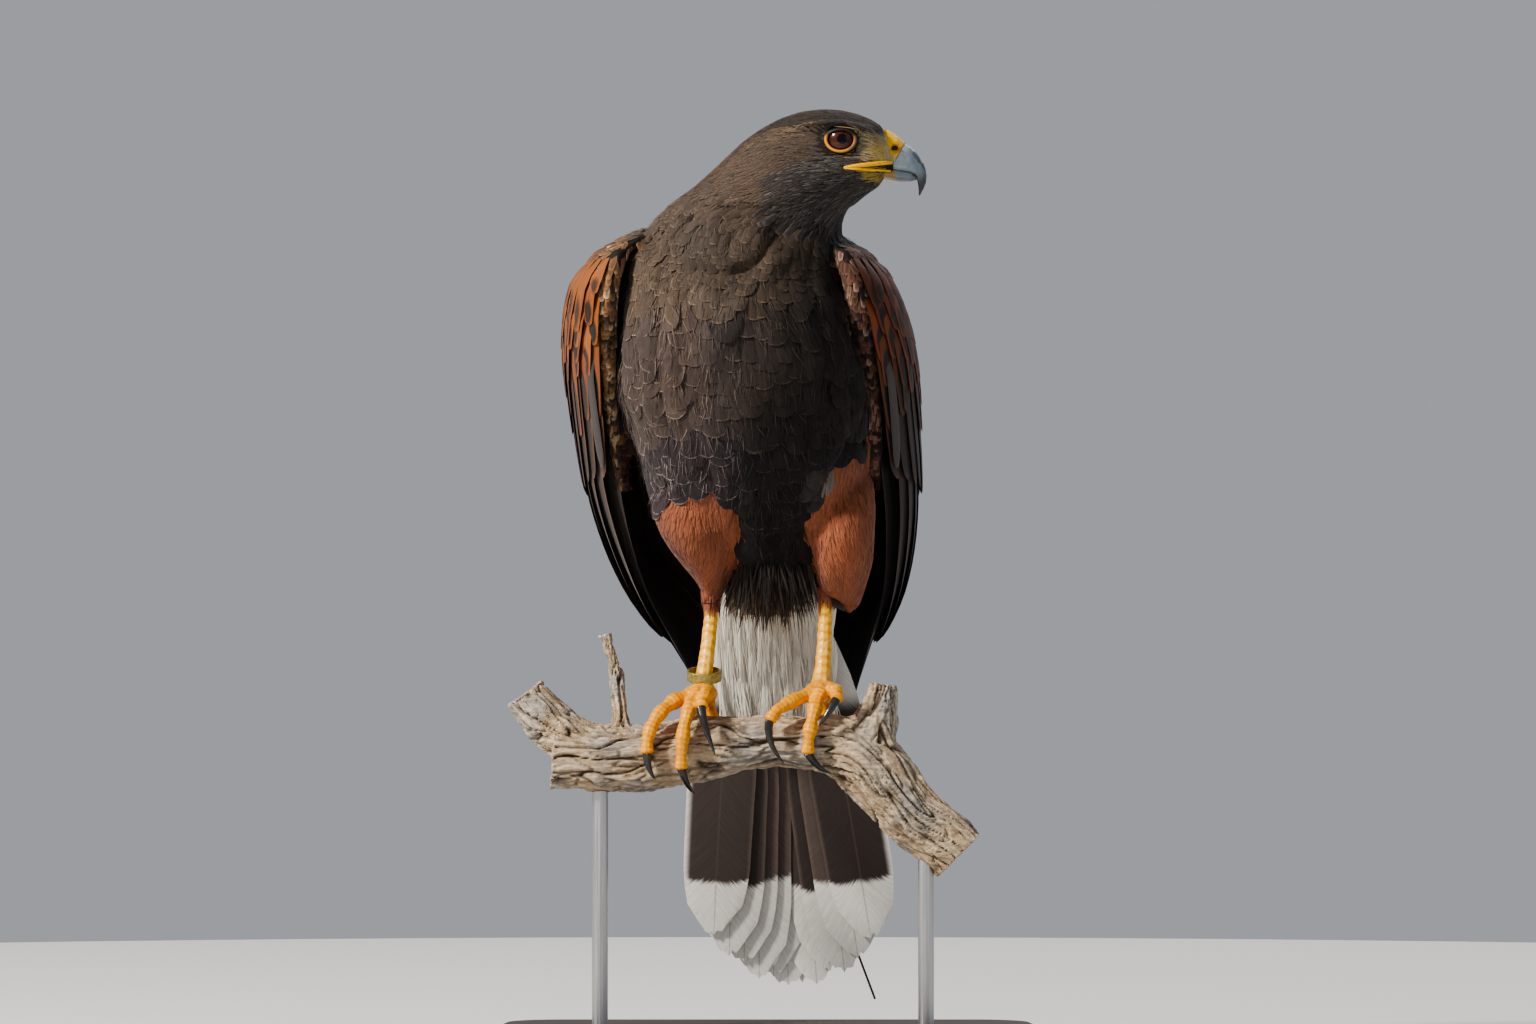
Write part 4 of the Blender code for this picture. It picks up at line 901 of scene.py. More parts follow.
def makeFaceLines(tree, material):
    # the yellow edges of the mouth, and under the brow a pale rim that is a painted highlight on the brow's
    # lit edge, on both sides of the head
    form = bmesh.new()
    for line in gapeForm:
        for side in (right, left):
            stations = []
            for x, z, thick in smoothPath(line, 24):
                start = Vector((x, headMiddle + side * 60.0, z)) * mm
                hit = tree.ray_cast(start, Vector((0.0, -side, 0.0)))[0]
                if hit:
                    stations.append((x, hit.y / mm + side * 0.55, z, thick))
            tubeForm(form, stations, 10)
    # a thin pale rim along the brow's lower edge: a painted highlight where light catches the brow
    ridge = [row for row in smoothPath(browLine, 40) if 31.5 < row[0] < 45.5]
    for side in (right, left):
        stations = []
        for k, (x, y, z, r) in enumerate(ridge):
            thick = 0.3 * math.sin(math.pi * (k + 0.6) / (len(ridge) + 0.2))
            depth = headMiddle + side * (headMiddle - y + 0.8 * (r - 0.4))
            stations.append((x, depth, z - 0.72 * (r - 0.3), thick))
        tubeForm(form, stations, 8)
    bmesh.ops.recalc_face_normals(form, faces=form.faces)
    lines = finishForm(form, "mouthEdgesAndBrowHighlight")
    onBrow = (pointsOf(lines.data)[:, 2] > 460).astype(float)
    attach(lines, "root")
    dressPiece(lines, material, blendTones(headTones["gape"], headTones["browEdgeHighlight"], onBrow))


nostrilForm = {
    "place": (62.6, 456.6),
    "radius": 1.35,
    "squeeze": (1.45, 0.5, 0.85),
    "turn": -14.0,
    "out": 0.85,
    # near black: painted shade standing for the nostril's open hole
    "tone": (0.012, 0.006, 0.004),
    "cerePlace": (63.2, 456.4),
}


def makeBill():
    glossy = toneMaterial("hornPolish", 0.36, 160.0, 0.05, 0.2)
    waxy = toneMaterial("waxySkin", 0.5, 700.0, 0.10, 0.0)
    form = headTones
    upper = smoothCopy("billUpper", ["bill_upper"], 0.32, 8, 0.12)
    points, normals = pointsOf(upper.data), normalsOf(upper.data)
    x, z = points[:, 0], points[:, 2]
    sag = 2.7 * stepUp(455.0, 450.5, z) * stepUp(59.0, 63.0, x) * stepUp(78.0, 72.0, x)
    back = 3.2 * stepUp(455.0, 450.0, z) * stepUp(70.0, 62.0, x)
    placePoints(upper.data, points - columns(back, 0 * x, sag))
    tones = blendTones(form["billPale"], form["billMiddle"], stepUp(66.0, 73.0, x) * 0.9)
    ridge = stepUp(0.62, 0.95, normals[:, 0] * 0.9 + normals[:, 2] * 0.45) * stepUp(459.0, 450.0, z)
    # painted shade: the upper bill's downward-facing underside is darkened
    under = stepUp(-0.35, -0.7, normals[:, 2]) * stepUp(440.0, 444.0, z)
    dark = np.maximum(stepUp(449.0, 439.0, z) * 0.9, ridge * 0.8)
    dressPiece(upper, glossy, blendTones(tones, form["billDark"], np.maximum(dark, under)))
    lower = smoothCopy("billLower", ["bill_lower"], 0.32, 6, 0.35)
    x, _, z = pointsOf(lower.data).T
    tones = blendTones(form["billBase"], form["billMiddle"], stepUp(61.0, 65.5, x))
    # painted shade: darker along the lower bill's bottom edge, and along its top edge in the mouth line
    # under the upper bill
    dark = np.maximum(stepUp(443.0, 440.0, z), stepUp(446.3, 447.3, z)) * 0.75
    dressPiece(lower, glossy, blendTones(tones, form["billDark"], dark))
    cere = smoothCopy("cereWax", ["cere"], 0.35, 9, 0.25)
    x, _, z = pointsOf(cere.data).T
    gap = np.hypot(x - nostrilForm["cerePlace"][0], z - nostrilForm["cerePlace"][1])
    tones = blendTones(form["cere"], form["cereWarm"], 0.75 * stepUp(3.4, 1.8, gap))
    dressPiece(cere, waxy, blendTones(tones, form["cerePale"], stepUp(454.0, 451.5, z) * 0.85))
    makeNostrils(meshTree(cere.data), waxy)
    return waxy


def makeNostrils(tree, material):
    form = bmesh.new()
    x, z = nostrilForm["place"]
    tilt = Matrix.Rotation(math.radians(nostrilForm["turn"]), 3, "Y")
    for side in (right, left):
        start = Vector((x, headMiddle + side * 40.0, z)) * mm
        hit = tree.ray_cast(start, Vector((0.0, -side, 0.0)))[0]
        radius = nostrilForm["radius"] * mm
        made = bmesh.ops.create_uvsphere(form, u_segments=24, v_segments=16, radius=radius)["verts"]
        bmesh.ops.scale(form, vec=nostrilForm["squeeze"], verts=made)
        bmesh.ops.rotate(form, cent=(0, 0, 0), matrix=tilt, verts=made)
        bmesh.ops.translate(form, vec=hit + Vector((0.0, side * nostrilForm["out"], 0.0)) * mm, verts=made)
    nostrils = finishForm(form, "nostrils")
    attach(nostrils, "root")
    # painted shade: a near black oval where the nostril's hole is
    tones = np.full((len(nostrils.data.vertices), 3), nostrilForm["tone"])
    dressPiece(nostrils, material, tones)


def meshTree(mesh):
    return BVHTree.FromPolygons([v.co for v in mesh.vertices], [tuple(p.vertices) for p in mesh.polygons])


# Coat: contour feathers over the whole skin

coatSizes = {  # spacing, length, half width, lift at the tip
    "face": (0.84, 4.6, 0.37, 0.26),
    "crown": (1.10, 7.2, 0.62, 0.36),
    "neck": (3.0, 13.5, 3.0, 1.0),
    "breast": (6.0, 24.0, 7.6, 1.7),
    "belly": (5.2, 23.0, 6.4, 2.2),
    "tuft": (1.9, 22.0, 1.25, 2.4),
    "thigh": (1.55, 12.5, 1.0, 0.7),
    "wing": (3.5, 12.5, 4.3, 1.2),
    "lead": (1.9, 8.5, 1.6, 0.7),
}
coatTones = {  # centre, fringe, where the fringe starts
    "head": ((0.062, 0.045, 0.035), (0.155, 0.108, 0.075), 0.55),
    "crownTop": ((0.036, 0.027, 0.022), (0.085, 0.063, 0.050), 0.6),
    "browStreak": ((0.085, 0.056, 0.036), (0.23, 0.155, 0.095), 0.4),
    "cheek": ((0.055, 0.049, 0.045), (0.165, 0.150, 0.132), 0.30),
    "cheekDark": ((0.034, 0.028, 0.027), (0.095, 0.083, 0.077), 0.55),
    "lores": ((0.19, 0.155, 0.10), (0.38, 0.32, 0.20), 0.4),
    "chin": ((0.30, 0.20, 0.045), (0.46, 0.33, 0.09), 0.4),
    "nape": ((0.062, 0.044, 0.032), (0.165, 0.115, 0.077), 0.84),
    "breast": ((0.047, 0.034, 0.029), (0.20, 0.15, 0.118), 0.92),
    "belly": ((0.024, 0.017, 0.0195), (0.20, 0.16, 0.15), 0.93),
    "tuft": ((0.023, 0.017, 0.014), (0.06, 0.043, 0.033), 0.75),
    "down": ((0.13, 0.115, 0.11), (0.19, 0.17, 0.16), 0.6),
    "tuftBuff": ((0.04, 0.026, 0.018), (0.34, 0.235, 0.14), 0.55),
    "thigh": ((0.235, 0.075, 0.038), (0.30, 0.112, 0.058), 0.40),
    "shoulderTop": ((0.13, 0.055, 0.025), (0.24, 0.098, 0.040), 0.5),
    "shoulder": ((0.032, 0.017, 0.012), (0.25, 0.076, 0.021), 0.66),
    "cream": ((0.24, 0.155, 0.08), (0.56, 0.45, 0.28), 0.3),
    "leadBrown": ((0.13, 0.068, 0.034), (0.27, 0.155, 0.075), 0.45),
    "leadDark": ((0.028, 0.019, 0.014), (0.11, 0.065, 0.038), 0.6),
    "back": ((0.032, 0.023, 0.019), (0.085, 0.052, 0.034), 0.84),
}
coatShades = {  # tones laid over those above, and the left wing's share of them, a painted shade over that whole wing
    "yellow": (0.55, 0.34, 0.05),
    "yellowFringe": (0.66, 0.46, 0.10),
    "wingFringe": (0.06, 0.03, 0.02),
    "leftWingShade": (0.60, 0.50, 0.66),
    "curl": (0.36, 0.31, 0.28),
}


def coatShares(points, tag):
    # how much each kind of feather counts at each point
    x, y, z = points.T
    body = (tag == kinds["body"]).astype(float)
    wing = (tag == kinds["wing"]).astype(float)
    far = np.linalg.norm(points - billBase, axis=1)
    head = body * stepUp(416.0, 436.0, z + 0.28 * np.clip(x, -80, 60))
    face = head * (1 - stepUp(14.0, 36.0, far))
    neck = body * (1 - head) * stepUp(372.0, 404.0, z)
    tuft = body * (1 - stepUp(246.0, 260.0, z)) * (y < 20)
    belly = body * (1 - head) * (1 - neck) * (1 - stepUp(262.0, 305.0, z)) * (1 - tuft)
    lead = wing * (1 - stepUp(6.0, 12.0, y - leadLine(z)))
    return {
        "face": face,
        "crown": head - face,
        "neck": neck,
        "belly": belly,
        "tuft": tuft,
        "breast": body - head - neck - belly - tuft,
        "thigh": (tag == kinds["thigh"]).astype(float),
        "wing": wing - lead,
        "lead": lead,
    }


def sizesAt(points, tag):
    shares = coatShares(points, tag)
    return sum(share[:, None] * np.array(coatSizes[name]) for name, share in shares.items())


def driftAt(points, scale):
    # a slow change of direction and tone over the coat
    return np.array([noise.noise_vector(Vector(p) / scale) for p in points.tolist()])


def lieAt(points, tag):
    # the way that feathers lie: back from the bill, down the body and along the wing
    away = unit(points - billBase)
    x, _, z = points.T
    headness = stepUp(400.0, 430.0, z + 0.25 * np.clip(x, -80, 60))[:, None]
    down = unit(columns(0.10 * np.sign(x - leanX(z)), np.full_like(x, 0.1), np.full_like(x, -1.0)))
    body = unit(away * headness + down * (1 - headness)) + 0.34 * driftAt(points, 21.0)
    return np.where((tag == kinds["wing"])[:, None], np.array((0.0, 0.42, -0.9)), body)


def trianglesOf(mesh, tag):
    # the corners of each triangle, its area, its middle and its kind of skin
    mesh.calc_loop_triangles()
    corners = valuesOf(mesh.loop_triangles, "vertices", np.int32)
    a, b, c = pointsOf(mesh)[corners].transpose(1, 0, 2)
    area = np.linalg.norm(np.cross(b - a, c - a), axis=1) / 2
    return (a, b, c), area, (a + b + c) / 3, tag[corners[:, 0]]


def turnShare(x, y, z):
    # where a point lies round the body, for the unwrap
    return (np.arctan2(x - leanX(z), -(y + 5.0)) / (2 * math.pi) + 0.5) % 1.0


def scatterRoots(mesh, tag, random):
    (a, b, c), area, middle, kind = trianglesOf(mesh, tag)
    spacing = sizesAt(middle, kind)[:, 0]
    weight = area / spacing**2
    picks = random.choice(len(area), size=int(weight.sum() * 4.5), p=weight / weight.sum())
    p, q = np.sqrt(random.random(len(picks))), random.random(len(picks))
    places = a[picks] * (1 - p)[:, None] + b[picks] * (p * (1 - q))[:, None] + c[picks] * (p * q)[:, None]
    near = spacing[picks]
    cell = float(near.max())
    grid, kept = {}, []
    around = [(i, j, k) for i in (-1, 0, 1) for j in (-1, 0, 1) for k in (-1, 0, 1)]
    for i, (x, y, z) in enumerate(places.tolist()):
        home = (int(x // cell), int(y // cell), int(z // cell))
        limit = near[i] ** 2
        crowd = (grid.get((home[0] + dx, home[1] + dy, home[2] + dz), ()) for dx, dy, dz in around)
        if all((u - x) ** 2 + (v - y) ** 2 + (w - z) ** 2 >= limit for group in crowd for u, v, w in group):
            grid.setdefault(home, []).append((x, y, z))
            kept.append(i)
    return places[kept], kind[picks[kept]]


def coatColours(points, tag, random):
    x, y, z = points.T
    count = len(points)
    luck = random.random(count)
    shares = coatShares(points, tag)
    headShare = shares["crown"] + shares["face"]
    onWing = tag == kinds["wing"]
    drift = driftAt(points, 26.0)
    headed = headShare > 0.5
    names = np.full(count, "breast", dtype=object)
    names[z < 325 + 14 * drift[:, 0]] = "belly"
    names[y > 15] = "back"
    names[shares["neck"] > 0.4] = "nape"
    names[headed] = "head"
    low = z < 453 - 0.30 * np.abs(x - 34)
    cheek = (headShare > 0.3) & (x > 2 + 6 * drift[:, 1]) & (x < 60) & low
    names[cheek] = "cheekDark"
    pale = 0.14 + 0.40 * stepUp(436.0, 446.0, z) * stepUp(16.0, 32.0, x)
    names[cheek & (luck < pale) & (headShare > 0.75)] = "cheek"
    names[headed & (z > 466.5 + 2 * drift[:, 0]) & (x > 6)] = "crownTop"
    brow = headed & (np.abs(z - 464 - 0.10 * (x - 10)) < 3.4) & (x > -8) & (x < 27) & (luck < 0.45)
    names[brow] = "browStreak"
    lores = (x > 44.5) & (z > 449.8) & (z < 464.0 - 0.25 * np.maximum(x - 52, 0)) & headed
    names[lores & (luck > 0.25)] = "lores"
    names[headed & (x > 50) & (z > 440.5) & (z < 446.8)] = "chin"
    names[shares["tuft"] > 0.5] = "tuft"
    names[(shares["tuft"] > 0.5) & (luck < 0.35) & (z < 240)] = "tuftBuff"
    names[tag == kinds["thigh"]] = "thigh"
    names[(np.hypot((x - 24.0) * 0.8, z - 300.0) < 8.5) & (y < 0) & ~onWing] = "down"
    names[onWing] = "shoulder"
    names[onWing & (z > 390 + 8 * drift[:, 1])] = "shoulderTop"
    lead = shares["lead"] > 0.5
    creamShare = np.where(x > 0, 0.15, 0.09) + 0.22 * stepUp(345.0, 325.0, z)
    names[lead] = "leadBrown"
    names[lead & (luck < creamShare)] = "cream"
    names[lead & (luck > 0.6) & (z < 393)] = "leadDark"
    centre, fringe, start = (np.array([coatTones[name][k] for name in names]) for k in range(3))
    yellow = lores * stepUp(50.0, 58.0, x) * (1 - stepUp(454.0, 461.0, z))
    centre = blendTones(centre, coatShades["yellow"], yellow)
    fringe = blendTones(fringe, coatShades["yellowFringe"], yellow)
    fringe = blendTones(fringe, coatShades["wingFringe"], onWing * stepUp(375.0, 335.0, z) * 0.5)
    warm = 1 + 0.35 * drift[:, 2:3] * np.array((1.0, 0.8, 0.6))
    vary = np.clip(random.normal(1.0, 0.10, (count, 1)), 0.6, 1.4) * warm
    # painted light and shade: the body's coat lighter on its right side and darker towards its left side,
    # less so on the head
    lit = 1.30 - 1.08 * stepUp(-48.0, 18.0, x - 0.25 * (z - 340))
    lit = lit + (1.05 - lit) * headShare
    vary = vary * np.where(tag == kinds["body"], lit, 1.0)[:, None]
    # painted shade: the left wing's coat darkened all over
    vary = np.where((onWing & (x > 0))[:, None], vary * np.array(coatShades["leftWingShade"]), vary)
    curls = ((luck > 0.90) & (names == "belly"))[:, None]
    fringe = np.where(curls, np.array(coatShades["curl"]), fringe)
    plain = ((luck < 0.5) & np.isin(names, ("belly", "breast", "nape")))[:, None]
    fringe = np.where(plain, centre * 1.5, fringe)
    return centre * vary, fringe * vary, start


def leadLine(z):
    levels, _, leads = np.array([row[:3] for row in wingRows][::-1]).T
    return np.interp(z, levels, leads)


def spinesOver(skinAt, roots, tag, lengths, lifts, rows, random, curl=0.0):
    # each spine runs along the skin from its root, rising to its lift
    tree, faceNormals = skinAt
    count = len(roots)
    spine, up = np.zeros((2, count, len(rows), 3))
    here = roots.copy()
    way = lieAt(roots, tag) + random.normal(0, 0.13, (count, 3))
    for k, row in enumerate(rows):
        aim = here + way * ((row - rows[k - 1]) * lengths)[:, None] if k else here
        found = [tree.find_nearest(Vector(p) * mm) for p in aim]
        blend = normal = faceNormals[[f[2] for f in found]]
        if k:
            shift = np.array([f[0] for f in found]) / mm - aim
            far = np.linalg.norm(shift, axis=1)
            shift *= np.minimum(1.0, 2.2 / np.maximum(far, 1e-6))[:, None]
            here = aim + shift
            blend = unit(up[:, k - 1] * 0.5 + normal * 0.5)
        up[:, k] = blend
        flow = lieAt(here, tag) * 0.5 + way * 0.5
        way = unit(flow - blend * (flow * blend).sum(axis=1, keepdims=True))
        spine[:, k] = here
    rise = np.array([-0.35 + 1.35 * r**0.85 for r in rows])
    spine += up * (rise[None, :] * lifts[:, None])[..., None]
    along = unit(np.gradient(spine, axis=1))
    side = unit(np.cross(along, up))
    if curl:
        spine += side * (random.normal(0, curl, count)[:, None] * np.array(rows)[None, :] ** 2)[..., None]
        along = unit(np.gradient(spine, axis=1))
        side = unit(np.cross(along, up))
    return spine, side, unit(np.cross(side, along))


def bareRoots(roots, tag):
    # no feathers on the eye, the bill, the chin's end and the thigh's end, or inside the wings
    x, y, z = roots.T
    gap = np.hypot(x - eyeForm["middle"][0], z - eyeForm["middle"][1])
    bare = ((gap < eyeForm["lidOuter"]) & (x > 0)) | (x > 59.5) | ((x > 56.5) & (z < 442.0))
    bare |= (x < 0) & (z < 236.0) & (y < 25)
    return bare | ((tag == kinds["wing"]) & (np.abs(x - leanX(z)) < 50) & (z < 398))


def makeCoat(skin, tag):
    mesh = skin.data
    random = np.random.default_rng(21)
    roots, rootTag = scatterRoots(mesh, tag, random)
    loops = valuesOf(mesh.loops, "vertex_index", np.int32, 1)[:, 0]
    starts = valuesOf(mesh.polygons, "loop_start", np.int32, 1)[:, 0]
    faceNormals = unit(np.add.reduceat(normalsOf(mesh)[loops], starts, axis=0))
    tree = meshTree(mesh)
    hidden = []
    for place in roots:
        at, _, index, _ = tree.find_nearest(Vector(place) * mm)
        outward = Vector(faceNormals[index])
        hit = tree.ray_cast(at + outward * 0.8 * mm, outward, 5.0 * mm)
        hidden.append(hit[0] is not None)
    shown = ~np.array(hidden) & ~bareRoots(roots, rootTag)
    roots, rootTag = roots[shown], rootTag[shown]
    print("coat roots", len(roots))
    sizes = sizesAt(roots, rootTag)
    sizes[:, 2:] *= 1 - 0.5 * faceShare(roots)[:, None]
    shares = coatShares(roots, rootTag)
    centre, fringe, start = coatColours(roots, rootTag, random)
    x, y, z = roots.T
    angle = turnShare(x, y, z)
    headAngle = (np.arctan2(y + 36.0, z - 448.0) / (2 * math.pi) + 0.5) % 1.0
    blunt, pointed = (0.30, 0.78, 1.0, 0.96), (0.45, 1.0, 0.85, 0.25)
    isHead = shares["face"] + shares["crown"] > 0.5
    isWing, isThigh = rootTag == kinds["wing"], rootTag == kinds["thigh"]
    thighAngle = np.where(x > 0, 0.5, 0.0) + angle / 2
    zones = {  # which roots, template, outline, places on the unwrap
        "coatHead": (isHead, "tiny", pointed, headAngle, (x + 40) / 110),
        "coatNeck": (shares["neck"] > 0.5, "small", blunt, angle, (z - 370) / 90),
        "coatTufts": (shares["tuft"] > 0.4, "small", pointed, angle, (z - 210) / 60),
        "coatThighs": (isThigh, "strand", pointed, thighAngle, (z - 220) / 90),
        "coatWingRight": (isWing & (x < 0), "small", blunt, angle, (z - 290) / 135),
        "coatWingLeft": (isWing, "small", blunt, angle, (z - 290) / 135),
        "coatFront": (y < 0, "broad", blunt, angle, (z - 220) / 200),
        "coatBack": (y >= 0, "middle", blunt, angle, (z - 220) / 200),
    }
    waiting = np.ones(len(roots), bool)
    for name, (mask, template, outline, *unwrap) in zones.items():
        chosen = mask & waiting
        waiting &= ~chosen
        count = chosen.sum()
        length = sizes[chosen, 1] * random.normal(1.0, 0.20 if name == "coatTufts" else 0.09, count)
        if name == "coatThighs":
            length = np.minimum(length, np.maximum(roots[chosen, 2] - 229.0, 2.0))
        own = (roots[chosen], rootTag[chosen], length, sizes[chosen, 3], templates[template]["levels"])
        vanes = {
            "frames": spinesOver((tree, faceNormals), *own, random),
            "half": sizes[chosen, 2] * random.normal(1.0, 0.12, count),
            "outlineAt": (0.0, 0.25, 0.6, 1.0),
            "outline": outline,
            "cup": 0.20,
            "round": 1.0 if outline == blunt else 0.6,
            "thick": 0.14,
            "fray": 0.02,
            "notch": 0.014,
            "luck": random.random(count),
            "tones": (centre[chosen], fringe[chosen]),
            "fringe": start[chosen],
            "patch": freeCells(columns(*unwrap)[chosen]),
        }
        growVanes(name, template, vanes, feathers["bodyFeather"])
    return tree, faceNormals


wispSettings = {
    "front": 4400,
    "back": 1300,
    "long": 0.6,
    "lift": 1.4,
    "half": 0.19,
    "curl": 2.2,
    "astray": 0.4,
}
fringeSettings = {
    "count": 900,
    "long": (14.0, 4.5),
    "half": 0.33,
    "bow": 0.8,
    "top": 254.0,
    "bottom": 225.0,
    "buff": ((0.040, 0.027, 0.021), (0.32, 0.215, 0.135)),
    "dark": ((0.028, 0.021, 0.019), (0.075, 0.053, 0.043)),
}
sockSettings = {
    "middles": ((-28.1, 12.5, 235.5), (29.0, 12.5, 237.5)),
    "each": 230,
    "long": (10.0, 1.8),
    "half": 0.55,
    "bow": 0.5,
}


def makeWisps(skin, tag, skinAt):
    # loose single barbs that stand a little over the contour feathers and soften them
    form = wispSettings
    random = np.random.default_rng(33)
    _, area, middle, kind = trianglesOf(skin.data, tag)
    near = coatShares(middle, kind)
    usable = (kind == kinds["body"]) * (1 - near["face"] - 0.85 * near["crown"])
    usable = usable * ((middle[:, 0] < 24) | (middle[:, 2] < 430))
    for name, facing in (("Front", middle[:, 1] < 0), ("Back", middle[:, 1] >= 0)):
        count = form[name.lower()]
        weight = area * np.clip(usable, 0, 1) * facing
        picks = random.choice(len(area), size=count, p=weight / weight.sum())
        roots, rootTag = middle[picks] + random.normal(0, form["astray"], (count, 3)), kind[picks]
        sizes = sizesAt(roots, rootTag)
        length = np.clip(sizes[:, 1] * form["long"] * random.normal(1.0, 0.25, count), 3.0, 18.0)
        lift = sizes[:, 3] * form["lift"] * random.normal(1.0, 0.18, count)
        rows = templates["strand"]["levels"]
        frames = spinesOver(skinAt, roots, rootTag, length, lift, rows, random, form["curl"])
        centre, fringe, _ = coatColours(roots, rootTag, random)
        share = (random.random(count) ** 1.6)[:, None]
        tone = centre * (1 - share) * 1.15 + fringe * share
        vanes = {
            "frames": frames,
            "half": form["half"] * random.normal(1.0, 0.2, count),
            "outline": (1.0, 1.0, 0.75, 0.2),
            "cup": 0.1,
            "round": 0.5,
            "thick": 0.1,
            "luck": random.random(count),
            "tones": (tone, tone * 1.1),
            "fringe": 0.6,
            "patch": freeCells(columns(turnShare(*roots.T), (roots[:, 2] - 210) / 230)),
        }
        growVanes(f"wisps{name}", "strand", vanes, feathers["bodyFeather"])


def growStrands(name, random, roots, outward, ways, lengths, form, tones, start):
    # thin single strands that run straight from their roots and bow outward a little
    count = len(roots)
    rows = np.array(templates["strand"]["levels"])
    spine = roots[:, None] + ways[:, None] * (rows[None, :] * lengths[:, None])[..., None]
    spine += outward[:, None] * (form["bow"] * np.sin(np.pi * rows * 0.7))[None, :, None]
    low, high = roots.min(axis=0), roots.max(axis=0)
    vanes = {
        "frames": (spine, *framesOf(spine, np.repeat(outward[:, None], len(rows), axis=1))),
        "half": form["half"] * random.normal(1.0, 0.25, count),
        "outline": (0.8, 1.0, 0.7, 0.12),
        "cup": 0.15,
        "round": 0.3,
        "luck": random.random(count),
        "tones": tones,
        "fringe": start,
        "patch": freeCells(((roots - low) / (high - low))[:, [0, 2]]),
    }
    growVanes(name, "strand", vanes, feathers[form.get("feather", "bodyFeather")])


def makeBellyFringe(skin, tag):
    # the ragged ends of the last belly feathers, hanging free over the white below them
    form = fringeSettings
    random = np.random.default_rng(12)
    points, normals = pointsOf(skin.data), normalsOf(skin.data)
    x, y, z = points.T
    fits = (tag == kinds["body"]) & (z > form["bottom"]) & (z < form["top"])
    fits &= (y < 14) & (x > -19) & (x < 22)
    weight = fits * (0.25 + stepUp(form["top"], 240.0, z))
    count = form["count"]
    picks = random.choice(len(points), size=count, p=weight / weight.sum())
    roots, outward = points[picks] + random.normal(0, 0.7, (count, 3)), normals[picks]
    roots = roots + outward * 1.2
    ways = columns(0.010 * roots[:, 0], np.full(count, 0.12), np.full(count, -1.0))
    ways = unit(ways + random.normal(0, 0.12, (count, 3)))
    lengths = np.clip(random.normal(*form["long"], count), 6.0, 24.0)
    buff = ((random.random(count) < 0.55) & (roots[:, 2] < 243))[:, None]
    vary = random.normal(1.0, 0.15, (count, 1))
    tones = [np.where(buff, pale, dark) * vary for pale, dark in zip(form["buff"], form["dark"])]
    start = np.where(buff[:, 0], 0.5, 0.8)
    growStrands("bellyFringe", random, roots, outward, ways, lengths, form, tones, start)


def makeSocks():
    # short orange strands that close each thigh round the top of its tarsus
    form = sockSettings
    random = np.random.default_rng(14)
    roots, outward, ways = [], [], []
    for middle in form["middles"]:
        for _ in range(form["each"]):
            turn = random.random() * 2 * math.pi
            out = np.array((math.cos(turn), math.sin(turn), 0.0))
            high = random.random()
            above = np.array((0.0, 0.0, 9.0 * high - 1.0))
            roots.append(np.array(middle) + out * (3.6 + 2.6 * high) + above)
            outward.append(out)
            ways.append(np.array((0.0, -0.06, -1.0)) - out * 0.16 * high + random.normal(0, 0.05, 3))
    roots, outward, ways = np.array(roots), np.array(outward), unit(np.array(ways))
    vary = random.normal(1.0, 0.10, (len(roots), 1))
    centre, fringe, _ = coatTones["thigh"]
    tones = (np.array(centre) * vary, np.array(fringe) * vary * 1.1)
    lengths = random.normal(*form["long"], len(roots))
    growStrands("thighSocks", random, roots, outward, ways, lengths, form, tones, 0.5)


# Large feathers of the wings and tail

wingTiers = {  # count, root's height, tips' heights, shares of the roots, of the ends, half width, depth
    "primaries": (8, 322.0, (128.0, 172.0), (0.05, 0.25), (0.20, 0.78), 8.0, 7.9),
    "secondaries": (12, 343.5, (214.0, 203.0), (0.15, 0.93), (0.13, 0.91), 9.5, 4.3),
    "greaterCoverts": (15, 362.0, (294.0, 268.0), (0.07, 0.93), (0.07, 0.93), 6.8, 1.9),
    "medianCoverts": (13, 372.0, (325.0, 304.0), (0.06, 0.93), (0.06, 0.93), 5.4, 0.7),
    "lesserFirst": (13, 376.0, (340.0, 321.0), (0.09, 0.94), (0.09, 0.94), 4.8, 0.1),
    "lesserSecond": (14, 386.0, (353.0, 336.0), (0.06, 0.94), (0.06, 0.94), 4.6, -0.3),
    "lesserThird": (13, 395.0, (365.0, 350.0), (0.09, 0.94), (0.09, 0.94), 4.5, -0.6),
    "lesserFourth": (13, 402.0, (376.0, 364.0), (0.07, 0.94), (0.07, 0.94), 4.4, -0.8),
}
tierTones = {
    "primaries": ((0.026, 0.019, 0.018), (0.13, 0.095, 0.075), 0.93),
    "secondaries": ((0.030, 0.021, 0.018), (0.13, 0.065, 0.036), 0.90),
    "greaterCoverts": ((0.030, 0.019, 0.016), (0.14, 0.054, 0.022), 0.82),
    "medianCoverts": ((0.028, 0.017, 0.013), (0.19, 0.060, 0.017), 0.84),
    "lesserFirst": ((0.025, 0.015, 0.012), (0.25, 0.080, 0.019), 0.76),
    "lesserSecond": ((0.025, 0.015, 0.012), (0.28, 0.089, 0.021), 0.70),
    "lesserThird": ((0.028, 0.016, 0.012), (0.28, 0.089, 0.021), 0.64),
    "lesserFourth": ((0.050, 0.024, 0.014), (0.24, 0.080, 0.024), 0.50),
}
